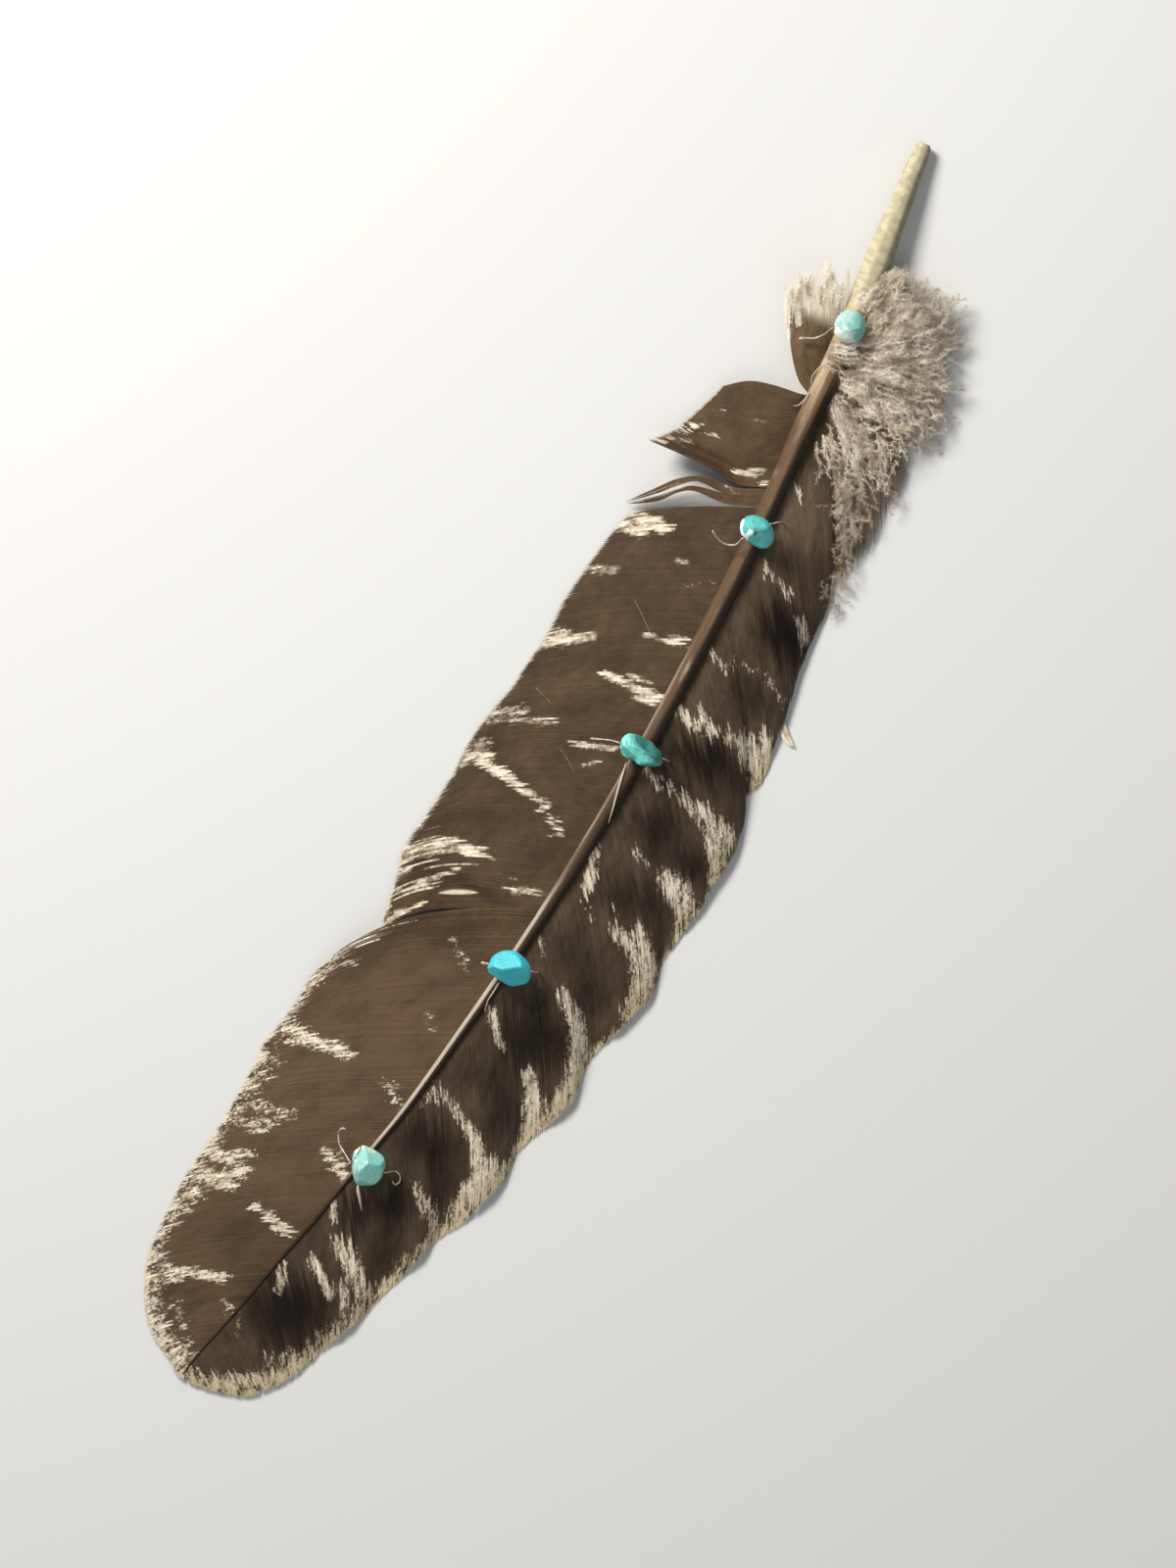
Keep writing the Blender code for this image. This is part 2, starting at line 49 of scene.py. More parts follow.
def curve(rows, at):
    """A smooth curve without overshoot through rows of (position, values...), read at each position in at."""
    rows = np.array(sorted(rows), float)
    k, v = rows[:, 0], rows[:, 1:]
    at = np.clip(np.atleast_1d(np.asarray(at, float)), k[0], k[-1])
    h = np.diff(k)[:, None]
    d = np.diff(v, axis=0) / h
    m = np.zeros_like(v)
    m[0], m[-1] = d[0], d[-1]
    if len(k) > 2:
        w1, w2 = 2 * h[1:] + h[:-1], h[1:] + 2 * h[:-1]
        same = d[:-1] * d[1:] > 0
        safe1, safe2 = np.where(same, d[:-1], 1.0), np.where(same, d[1:], 1.0)
        m[1:-1] = np.where(same, (w1 + w2) / (w1 / safe1 + w2 / safe2), 0.0)
    i = np.clip(np.searchsorted(k, at, side="right") - 1, 0, len(k) - 2)
    hh, t = h[i], ((at - k[i]) / (k[i + 1] - k[i]))[:, None]
    return ((2 * t**3 - 3 * t**2 + 1) * v[i] + (t**3 - 2 * t**2 + t) * hh * m[i]
            + (-2 * t**3 + 3 * t**2) * v[i + 1] + (t**3 - t**2) * hh * m[i + 1])


def noise1(x, seed, octaves=2):
    """Smooth noise in -1..1 on a line, one unit between its knots."""
    x = np.asarray(x, float)
    out, scale, total = np.zeros_like(x), 1.0, 0.0
    for o in range(octaves):
        table = np.random.default_rng(seed * 31 + o).uniform(-1, 1, 4096)
        p = x * 2**o + 1000.5
        i = np.floor(p).astype(int)
        f = p - i
        f = f * f * (3 - 2 * f)
        out += scale * (table[i % 4096] * (1 - f) + table[(i + 1) % 4096] * f)
        total += scale
        scale *= 0.5
    return out / total


def noise2(x, y, seed, octaves=2):
    """Smooth noise in -1..1 on a plane, one unit between its knots."""
    x, y = np.broadcast_arrays(np.asarray(x, float), np.asarray(y, float))
    out, scale, total = np.zeros(x.shape), 1.0, 0.0
    for o in range(octaves):
        table = np.random.default_rng(seed * 57 + o).uniform(-1, 1, (256, 256))
        px, py = x * 2**o + 500.3, y * 2**o + 500.7
        i, j = np.floor(px).astype(int), np.floor(py).astype(int)
        f, g = px - i, py - j
        f, g = f * f * (3 - 2 * f), g * g * (3 - 2 * g)
        a = table[i % 256, j % 256] * (1 - f) + table[(i + 1) % 256, j % 256] * f
        b = table[i % 256, (j + 1) % 256] * (1 - f) + table[(i + 1) % 256, (j + 1) % 256] * f
        out += scale * (a * (1 - g) + b * g)
        total += scale
        scale *= 0.5
    return out / total


def ease(x, lo, hi):
    t = np.clip((np.asarray(x, float) - lo) / (hi - lo), 0, 1)
    return t * t * (3 - 2 * t)


def spread(points, n, spacing=None):
    """n points along a smooth line through the given ones, evenly by length or at the given shares of it."""
    p = np.array(points, float)
    ends = np.vstack([2 * p[0] - p[1], p, 2 * p[-1] - p[-2]])
    t = np.linspace(0, 1, 20, endpoint=False)[:, None]
    out = [0.5 * (2 * b + (c - a) * t + (2 * a - 5 * b + 4 * c - d) * t**2 + (3 * b - a - 3 * c + d) * t**3)
           for a, b, c, d in zip(ends, ends[1:], ends[2:], ends[3:])]
    out = np.vstack(out + [p[-1:]])
    gone = np.concatenate([[0], np.cumsum(np.linalg.norm(np.diff(out, axis=0), axis=1))])
    want = gone[-1] * (np.linspace(0, 1, n) if spacing is None else spacing)
    return np.stack([np.interp(want, gone, out[:, k]) for k in range(p.shape[1])], axis=1)


# ---------------------------------------------------------------- the shaft's line

# y, x, width, depth, height of its middle
SHAFT = (
    (-151.5, -15.7, 0.25, 0.3, 1.15), (-146.0, -14.8, 0.42, 0.45, 1.7), (-140.0, -13.3, 0.5, 0.5, 2.4), (-130.0, -11.0, 0.58, 0.6, 3.4),
    (-120.0, -8.9, 0.68, 0.7, 4.3), (-110.0, -6.5, 0.85, 0.85, 5.2), (-100.0, -4.6, 1.1, 1.05, 6.0), (-90.0, -2.5, 1.4, 1.25, 6.75),
    (-80.0, -0.5, 1.62, 1.4, 7.4), (-70.0, 1.0, 1.85, 1.6, 8.0), (-60.0, 2.3, 2.05, 1.8, 8.5), (-50.0, 3.6, 2.2, 1.95, 8.85),
    (-40.0, 4.8, 2.5, 2.1, 9.2), (-30.0, 5.8, 2.75, 2.3, 9.5), (-20.0, 6.7, 3.0, 2.5, 9.65), (-10.0, 7.3, 3.2, 2.7, 9.75),
    (0.0, 7.8, 3.4, 2.9, 9.8), (20.0, 8.4, 3.8, 3.2, 9.6), (30.0, 8.4, 4.0, 3.4, 9.4), (50.0, 8.1, 4.3, 3.7, 8.8),
    (60.0, 7.85, 4.4, 3.9, 8.4), (70.0, 7.25, 4.45, 4.2, 7.9), (80.0, 6.6, 4.8, 4.4, 7.4), (90.0, 5.9, 5.2, 4.7, 6.9),
    (100.0, 5.4, 5.3, 4.95, 6.3), (112.0, 4.7, 5.4, 5.2, 5.45), (120.0, 3.7, 5.6, 5.35, 4.9), (125.0, 3.2, 5.5, 5.2, 4.5),
    (130.0, 2.6, 5.0, 4.9, 4.05), (135.0, 2.05, 4.5, 4.4, 3.6), (140.0, 1.5, 4.0, 3.9, 3.1), (145.0, 0.85, 3.4, 3.3, 2.6),
    (150.0, 0.5, 2.6, 2.6, 2.1), (150.6, 0.45, 2.35, 2.35, 2.05),
)


def shaft_at(y):
    """x, width, depth, height of the shaft's middle, one row for each y."""
    return curve(SHAFT, y)


# ---------------------------------------------------------------- meshes

def new_piece(name, verts, faces, material, smooth=True, attributes=None, uv=None, replaces="feather"):
    """A mesh piece from points in millimetres, with float values on its points."""
    mesh = bpy.data.meshes.new(name)
    mesh.from_pydata(((np.asarray(verts) - ORIGIN) * MM).tolist(), [], faces if isinstance(faces, list) else faces.tolist())
    for key, values in (attributes or {}).items():
        values = np.asarray(values, np.float32)
        if values.ndim == 2:
            layer = mesh.attributes.new(key, "FLOAT_COLOR", "POINT")
            layer.data.foreach_set("color", np.ascontiguousarray(np.hstack([values, np.ones((len(values), 1), np.float32)])).ravel())
        else:
            layer = mesh.attributes.new(key, "FLOAT", "POINT")
            layer.data.foreach_set("value", np.ascontiguousarray(values).ravel())
    if uv is not None:
        corner = np.zeros(len(mesh.loops), np.int32)
        mesh.loops.foreach_get("vertex_index", corner)
        layer = mesh.uv_layers.new(name="OFBake")
        layer.data.foreach_set("uv", np.ascontiguousarray(np.asarray(uv, np.float32)[corner]).ravel())
    if smooth:
        mesh.shade_smooth()
    mesh.materials.append(material)
    obj = bpy.data.objects.new(name, mesh)
    bpy.context.scene.collection.objects.link(obj)
    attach(obj, "root")
    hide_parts(replaces)
    return obj


def plan_uv(verts, margin=0.01):
    """A flat map seen from above, filling the square in each direction."""
    v = np.asarray(verts)[:, :2]
    lo, hi = v.min(0), v.max(0)
    return margin + (1 - 2 * margin) * (v - lo) / (hi - lo)


def unit(v):
    return v / np.maximum(np.linalg.norm(v, axis=-1, keepdims=True), 1e-9)


# ---------------------------------------------------------------- vanes

# Where the vane's edge runs, and which barb ends where on it: root on the shaft, tip x, tip y
LEFT_EDGE = (
    (-18.3, 51.9), (-19.4, 48.0), (-20.3, 43.0), (-21.0, 37.0), (-21.8, 30.0), (-21.6, 22.0), (-22.3, 15.0), (-23.0, 8.0), (-24.5, 1.0),
    (-25.3, -5.0), (-25.5, -10.0), (-25.3, -14.0), (-26.0, -22.0), (-27.0, -30.0), (-27.0, -33.5), (-26.0, -36.5), (-25.0, -42.0),
    (-24.4, -45.0), (-23.0, -49.3),
)
LEFT_ROOTS = ((66.2, -18.3, 51.9), (58, -20.1, 44.0), (50, -21.4, 33.5), (40, -21.6, 22.0), (30, -22.7, 11.5), (20, -24.3, 1.6), (10, -25.4, -8.5),
              (0, -25.6, -18.5), (-8, -26.3, -26.0), (-16, -27.0, -33.5), (-22, -25.6, -40.0), (-27, -24.4, -45.0), (-30.6, -23.0, -49.3))
LOW_EDGE = (
    (-28.4, -57.0), (-29.2, -58.6), (-30.5, -62.0), (-31.5, -66.0), (-32.0, -72.0), (-33.0, -78.0), (-33.8, -82.0), (-33.5, -90.0),
    (-33.8, -100.0), (-34.5, -107.0), (-35.2, -115.0), (-35.2, -122.0), (-34.8, -128.0), (-34.0, -134.0), (-32.0, -139.0), (-29.0, -144.0),
    (-25.0, -148.0), (-20.0, -150.5), (-17.0, -152.5), (-14.6, -153.0),
)
LOW_ROOTS = ((-30.8, -28.4, -57.0), (-36, -31.0, -64.0), (-45, -32.0, -72.0), (-60, -33.7, -84.0), (-80, -34.1, -103.0), (-100, -35.2, -122.0),
             (-115, -34.0, -134.0), (-125, -30.8, -141.0), (-135, -26.5, -146.5), (-142, -21.5, -149.8), (-147, -17.0, -152.5), (-150.8, -14.6, -153.0))
RIGHT_EDGE = (
    (26.0, 60.0), (28.3, 55.0), (28.7, 50.0), (29.0, 45.0), (29.5, 40.0), (30.5, 35.0), (31.5, 30.0), (31.8, 27.0), (32.5, 22.0), (33.3, 18.0),
    (33.3, 14.0), (32.0, 10.5), (34.0, 7.0), (35.0, 3.0), (35.4, 0.0), (35.4, -3.0), (34.8, -8.0), (34.8, -13.0), (34.2, -19.0),
    (33.5, -24.0), (33.1, -28.0), (34.0, -32.0), (34.2, -35.0), (33.0, -40.0), (31.5, -45.5), (30.0, -50.0), (29.2, -54.0),
    (29.5, -58.0), (30.0, -62.0), (29.0, -66.5), (27.5, -70.0), (26.0, -74.0), (24.8, -78.0), (25.0, -80.0), (25.3, -84.0),
    (24.5, -87.0), (23.0, -92.0), (21.5, -96.5), (19.5, -100.0), (18.0, -103.0), (17.0, -107.0), (15.5, -112.5), (14.0, -117.5),
    (12.0, -124.0), (10.0, -129.5), (8.5, -133.0), (7.0, -137.5), (5.0, -142.0), (3.0, -145.0), (1.0, -147.5), (-1.0, -149.7),
    (-4.0, -151.0), (-8.0, -152.2), (-12.5, -153.0), (-14.4, -153.0),
)
RIGHT_ROOTS = ((92, 26.0, 60.0), (85, 28.5, 52.0), (75, 29.0, 44.0), (62, 30.8, 33.0), (50, 33.3, 16.0), (40, 34.6, 5.0), (30, 35.4, -3.0),
               (20, 34.8, -12.0), (10, 33.6, -23.0), (0, 34.2, -34.0), (-10, 32.4, -42.0), (-20, 29.7, -52.0), (-28, 30.0, -62.0),
               (-38, 27.2, -71.0), (-48, 25.2, -83.0), (-58, 23.0, -92.0), (-68, 19.5, -100.0), (-80, 16.8, -108.0), (-92, 13.7, -119.0),
               (-105, 10.0, -129.5), (-115, 7.9, -135.0), (-125, 5.0, -142.0), (-135, 1.4, -147.0), (-142, -2.0, -150.3),
               (-147, -8.0, -152.2), (-150.8, -13.5, -153.0))


def tips_on(edge, pairs, roots):
    """Tips on the edge line for the given roots, by distance along that line."""
    edge = np.array(edge, float)
    fine = spread(edge, 1200)
    gone = np.linspace(0, 1, 1200)
    stations = [(r, gone[np.argmin(np.hypot(fine[:, 0] - x, fine[:, 1] - y))]) for r, x, y in pairs]
    s = curve(stations, roots)[:, 0]
    return np.stack([np.interp(s, gone, fine[:, 0]), np.interp(s, gone, fine[:, 1])], axis=1)


def root_points(roots, side):
    x, width, depth, height = shaft_at(roots).T
    return np.stack([x + side * np.maximum(width / 2 - 0.45, 0.05), roots, height - 0.06 * depth], axis=1)


def fan(roots, tips, side, before, after, n, tip_z):
    """Barbs of a closed vane as an array (barb, point, xyz): each bows between its root and tip by the given degrees."""
    base = root_points(roots, side)
    t = np.linspace(0, 1, n)[None, :, None]
    chord = tips - base[:, :2]
    length, angle = np.linalg.norm(chord, axis=1), np.arctan2(chord[:, 1], chord[:, 0])
    turn0, turn1 = np.radians(before) * side, np.radians(after) * side
    p0, p3 = base[:, None, :2], tips[:, None, :]
    p1 = p0 + (0.36 * length[:, None] * np.stack([np.cos(angle + turn0), np.sin(angle + turn0)], 1))[:, None, :]
    p2 = p3 - (0.33 * length[:, None] * np.stack([np.cos(angle - turn1), np.sin(angle - turn1)], 1))[:, None, :]
    flat = (1 - t) ** 3 * p0 + 3 * (1 - t) ** 2 * t * p1 + 3 * (1 - t) * t**2 * p2 + t**3 * p3
    fall = 0.72 * t[:, :, 0] + 0.28 * t[:, :, 0] ** 2
    z = base[:, 2:3] + (tip_z[:, None] - base[:, 2:3]) * fall
    return np.concatenate([flat, z[:, :, None]], axis=2)


def lanes(rows, count, n, side, spacing=None):
    """Barbs between guide rows of (root y, points after the root), as an array (barb, point, xyz), and their roots."""
    keys = np.array([r for r, _ in rows], float)
    order = np.argsort(keys)
    stack = np.array([spread([root_points(np.array([r]), side)[0], *pts], n, spacing) for r, pts in rows])[order]
    roots = np.linspace(keys.max(), keys.min(), count)
    table = [(k, *line.ravel()) for k, line in zip(keys[order], stack)]
    return curve(table, roots).reshape(count, n, 3), roots


# Cream marks: x, y of both ends, half width, strength. Lines cross the barbs; the barbs break them into streaks.
MARKS_LEFT = (
    (-18.0, 52.6, -9.5, 53.6, 1.3, 1.0), (-18.5, 49.6, -13.0, 51.0, 1.2, 0.95), (-13.0, 53.6, -8.5, 54.2, 0.8, 0.7), (-20.5, 38.0, -15.0, 40.5, 1.0, 0.62), (-5.0, 48.6, -3.0, 49.2, 0.6, 0.6), (0.5, 45.5, 3.5, 47.5, 0.7, 0.5),
    (3.2, 33.5, 5.8, 34.6, 1.0, 1.0), (-2.5, 32.0, 4.0, 33.6, 0.6, 0.62), (-22.5, 20.5, -17.0, 23.8, 1.9, 0.92), (-17.5, 23.0, -12.0, 26.5, 1.2, 0.8), (-7.5, 20.0, 5.9, 21.3, 0.9, 0.95), (1.0, 19.2, 6.0, 19.6, 0.8, 0.8), (-3.0, 22.3, 3.0, 23.0, 0.6, 0.6),
    (-24.0, 1.0, -18.0, 5.0, 1.8, 0.75), (-16.2, 4.2, -11.5, 6.3, 0.8, 0.82), (-5.5, 4.5, 2.8, 7.4, 0.8, 0.72), (-1.0, 1.5, 2.0, 4.0, 0.5, 0.5),
    (-24.8, -10.0, -22.0, -5.0, 1.6, 0.75), (-22.5, -7.2, -13.5, -8.3, 1.3, 1.0), (-14.0, -8.5, -5.0, -9.6, 1.0, 0.9), (-5.0, -10.2, 1.2, -13.8, 0.8, 0.78), (-2.0, -12.0, 0.5, -14.5, 0.8, 0.6),
    (-26.5, -33.0, -19.5, -27.0, 1.8, 0.8), (-20.0, -27.5, -12.0, -24.6, 1.0, 0.9), (-14.5, -26.2, -9.8, -24.8, 0.7, 0.85), (-5.8, -27.0, -4.2, -27.0, 0.6, 0.5), (-2.2, -28.8, 3.0, -26.6, 0.8, 0.85),
    (-26.4, -36.2, -22.6, -29.2, 0.7, 1.0), (-22.6, -29.2, -17.4, -24.8, 0.5, 0.9), (-22.0, -38.0, -13.4, -29.3, 0.35, 1.0), (-24.5, -42.0, -17.7, -34.0, 0.35, 0.9),
    (-22.5, -46.7, -17.7, -39.9, 0.5, 1.0), (-26.0, -33.0, -20.0, -25.5, 0.35, 0.9), (-21.0, -38.0, -16.0, -34.5, 0.6, 0.5), (-25.6, -46.0, -24.6, -39.5, 1.3, 0.75), (-26.5, -39.5, -24.0, -35.0, 1.3, 0.7), (-23.0, -45.0, -20.5, -43.0, 0.6, 0.6),
)
MARKS_LOW = (
    (-8.5, -43.8, -3.2, -47.8, 0.9, 0.45), (-6.0, -60.0, -3.0, -62.5, 0.8, 0.35), (-31.0, -66.5, -28.5, -58.5, 1.4, 0.72), (-28.0, -60.0, -24.5, -58.0, 0.8, 0.45), (-31.5, -76.5, -24.5, -76.8, 1.6, 0.92), (-25.0, -77.0, -16.5, -75.6, 1.3, 0.98),
    (-30.0, -79.4, -25.5, -78.4, 0.7, 0.6), (-6.8, -77.2, -3.0, -79.4, 0.9, 0.7), (-4.0, -79.5, -1.2, -81.5, 0.7, 0.6), (-7.0, -75.6, -5.0, -76.6, 0.5, 0.5), (-33.5, -99.0, -30.0, -85.0, 2.0, 0.56), (-29.5, -94.5, -22.0, -93.0, 1.4, 0.62), (-32.0, -99.5, -24.0, -96.8, 1.4, 0.62),
    (-11.0, -95.7, -4.8, -98.6, 1.2, 0.85), (-8.0, -94.0, -6.0, -95.5, 0.8, 0.6), (-33.5, -107.0, -25.0, -107.6, 1.8, 0.88), (-34.0, -112.8, -26.0, -111.4, 1.8, 0.86), (-27.5, -105.0, -24.0, -103.6, 1.0, 0.7), (-18.6, -113.0, -10.0, -114.6, 1.0, 0.92), (-13.5, -115.2, -9.8, -114.4, 0.8, 0.8),
    (-34.4, -128.0, -31.5, -116.0, 1.9, 0.62), (-29.5, -133.6, -18.0, -129.8, 1.1, 0.85), (-24.0, -131.5, -17.5, -129.4, 0.8, 0.7), (-15.0, -133.6, -13.2, -135.8, 0.7, 0.7), (-32.5, -138.0, -27.0, -134.5, 1.3, 0.7), (-31.0, -140.5, -15.5, -151.8, 1.8, 0.72), (-25.0, -139.0, -20.0, -142.5, 1.0, 0.5),
    (-19.0, -146.0, -15.8, -148.0, 1.2, 0.55),
)
MARKS_RIGHT = (
    (10.6, 73.6, 12.6, 72.0, 0.6, 0.8), (12.5, 55.8, 16.0, 54.6, 0.8, 0.85), (16.0, 54.8, 20.0, 53.4, 0.8, 0.8), (24.2, 49.6, 27.8, 45.8, 1.0, 0.8), (11.0, 34.8, 14.5, 34.0, 0.8, 0.9), (15.0, 34.5, 24.0, 36.2, 0.6, 0.6), (24.0, 35.4, 30.0, 32.6, 0.6, 0.5),
    (10.4, 21.0, 15.0, 19.8, 1.2, 1.0), (14.5, 22.6, 19.5, 19.4, 1.1, 0.9), (19.0, 19.0, 23.5, 20.5, 0.9, 0.75), (22.5, 21.5, 28.0, 22.0, 1.1, 0.8), (26.5, 21.0, 32.5, 17.0, 2.2, 1.0), (29.5, 24.5, 32.8, 19.0, 1.4, 0.95), (31.0, 20.0, 33.0, 13.0, 1.3, 0.9),
    (10.0, 7.0, 15.5, 4.6, 0.8, 0.8), (15.0, 6.2, 20.0, 5.0, 1.0, 0.8), (19.5, 6.0, 25.0, 3.0, 1.2, 0.82), (25.5, 4.5, 33.5, 1.0, 1.9, 0.9), (29.5, 1.2, 34.8, -5.5, 2.1, 0.9), (33.0, 2.0, 34.6, -8.0, 1.3, 0.9),
    (8.8, -13.0, 11.0, -21.0, 1.1, 0.95), (9.5, -16.0, 12.2, -18.5, 0.8, 0.8), (15.8, -9.0, 20.2, -11.0, 0.6, 0.7), (24.5, -11.5, 30.0, -14.0, 1.8, 1.0), (28.5, -12.0, 34.0, -18.5, 2.3, 1.0), (33.0, -14.0, 33.2, -22.0, 1.2, 0.9),
    (12.0, -25.0, 14.5, -25.2, 0.6, 0.5), (18.0, -22.0, 19.2, -23.4, 0.6, 0.5), (20.5, -26.0, 27.0, -28.6, 1.4, 0.9), (25.5, -25.6, 31.0, -31.0, 2.3, 1.0), (29.0, -30.0, 33.0, -39.0, 2.2, 1.0), (30.5, -36.0, 31.5, -42.0, 1.4, 0.9), (8.0, -35.4, 10.0, -37.8, 0.6, 0.5),
    (17.0, -43.4, 22.0, -47.0, 1.3, 0.88), (21.0, -45.6, 27.0, -52.0, 1.9, 0.9), (25.0, -50.5, 28.6, -58.5, 2.2, 1.0), (28.0, -58.5, 27.8, -66.0, 1.8, 0.95), (29.0, -52.0, 29.2, -60.0, 1.0, 0.8), (5.2, -53.0, 8.0, -56.0, 1.0, 1.0), (7.6, -55.5, 11.0, -58.8, 0.9, 0.9),
    (1.2, -74.8, 8.0, -74.2, 0.8, 0.8), (2.0, -72.4, 5.0, -73.6, 0.6, 0.6), (7.5, -74.8, 13.0, -78.0, 1.0, 0.9), (12.5, -77.5, 17.8, -81.8, 1.2, 0.9), (0.5, -77.5, 2.5, -78.5, 0.6, 0.6), (18.8, -61.5, 23.5, -66.5, 1.4, 0.9), (22.5, -66.0, 25.5, -73.0, 1.9, 1.0), (26.5, -67.0, 24.6, -77.0, 1.5, 0.95),
    (16.5, -80.0, 20.5, -86.5, 1.6, 1.0), (21.0, -83.0, 22.0, -91.0, 2.4, 1.05), (19.5, -89.0, 19.6, -97.0, 1.9, 1.0), (24.0, -80.0, 22.6, -90.0, 1.2, 0.9), (9.2, -93.8, 14.0, -98.6, 1.0, 0.88), (13.5, -95.6, 18.8, -102.5, 1.4, 0.82),
    (-5.0, -104.4, -3.0, -107.6, 0.8, 0.85), (0.0, -111.5, 5.0, -115.0, 1.5, 0.9), (3.5, -112.6, 9.5, -118.8, 1.7, 0.92), (-3.0, -117.6, 3.5, -121.6, 1.2, 0.85), (-8.0, -120.8, -6.0, -127.0, 0.9, 0.8), (5.5, -119.0, 8.5, -124.0, 1.2, 0.7),
    (9.0, -128.5, 13.0, -115.0, 1.2, 0.6), (3.0, -144.0, 7.8, -133.0, 1.4, 0.85), (-10.8, -135.4, -9.2, -139.4, 0.6, 0.45), (-6.0, -148.0, 2.0, -144.5, 1.8, 0.85), (-14.0, -151.0, -5.0, -149.0, 1.9, 0.72), (-2.0, -140.5, 2.5, -136.5, 0.8, 0.5),
)
MARKS_WIDE = (
    (-2.6, 70.8, 2.0, 72.3, 0.6, 0.95), (-1.0, 72.0, 2.6, 73.7, 0.5, 0.85), (3.8, 71.2, 4.8, 71.8, 0.6, 0.8), (-17.6, 72.5, -15.4, 73.9, 0.45, 0.8), (-15.6, 74.8, -12.8, 76.3, 0.4, 0.75),
    (-12.2, 74.9, -9.4, 75.8, 0.35, 0.7), (-12.0, 80.6, -9.0, 81.4, 0.35, 0.5), (-4.0, 82.3, 0.0, 83.6, 0.35, 0.42), (-18.6, 70.6, -14.0, 72.0, 0.5, 0.6), (-21.0, 68.6, -18.0, 69.4, 0.5, 0.9),
)


def mark_density(xy, marks):
    """How much of each point the cream marks take, 0 to 1."""
    out = np.zeros(len(xy))
    for x0, y0, x1, y1, half, strength in marks:
        a, b = np.array([x0, y0]), np.array([x1, y1])
        run = b - a
        s = np.clip(((xy - a) @ run) / max(run @ run, 1e-9), 0, 1)
        away = np.linalg.norm(xy - a - s[:, None] * run, axis=1)
        out = np.maximum(out, strength * (1 - ease(away, 0.3 * half, 1.8 * half)))
    return out


# Broad light and dark over the vanes, partly the plumage's own dark bars and partly painted shade in the valleys, where
# the right vane slopes away from the lamp and along the crease at the notch: x, y, reach in x, reach in y, factor
TONE_AND_SHADE_PATCHES = (
    (22.2, 46.0, 6.0, 6.4, 0.12), (27, 43, 3.5, 5, 0.45), (24, 30, 6, 3.5, 0.55), (21, 14.5, 8.5, 3.8, 0.16), (12, 12, 3.5, 4, 0.5), (24, 10.5, 6, 2.6, 0.6), (19, -2.5, 6.5, 4.2, 0.34), (28, -6.5, 4.5, 3.6, 0.34),
    (19, -19, 8, 4, 0.45), (15, -34, 8, 5.5, 0.66), (22, -7.5, 4, 3, 0.66), (23, -40, 4, 4.5, 0.6), (15, -55, 7, 7, 0.22), (21.4, -54.8, 4, 6, 0.4), (12, -67, 6.5, 4.5, 0.5), (17.5, -72, 3, 5, 0.5),
    (8, -85, 7.5, 6, 0.3), (15, -92, 3, 5, 0.5), (7, -98, 4.5, 5, 0.36), (0, -105, 4.5, 5, 0.32), (9, -108, 3.5, 9, 0.55), (-2.6, -129.6, 10.4, 8.4, 0.15),
    (14, 68, 8, 12, 1.8), (12, 28, 4, 5, 1.3), (12, 42, 4, 8, 1.35), (9, -26, 4, 6, 1.2), (9, -46, 4, 6, 1.15),
    (-14, -62, 12, 10, 1.05), (-12, -45, 14, 4, 0.82), (-20, -120, 10, 10, 0.84), (-8, -114, 6, 8, 0.85), (-10, -20, 12, 9, 0.96), (-12, 12, 10, 8, 1.02),
    (-12, -32.0, 12, 1.3, 0.6), (-22, -34, 6, 2.2, 0.6), (24, 66, 6, 8, 0.8),
)


def tone_and_painted_shade(xy):
    out = np.ones(len(xy))
    for x, y, rx, ry, f in TONE_AND_SHADE_PATCHES:
        out *= 1 + (f - 1) * np.exp(-((((xy[:, 0] - x) / rx) ** 2 + ((xy[:, 1] - y) / ry) ** 2) ** 1.6))
    return out


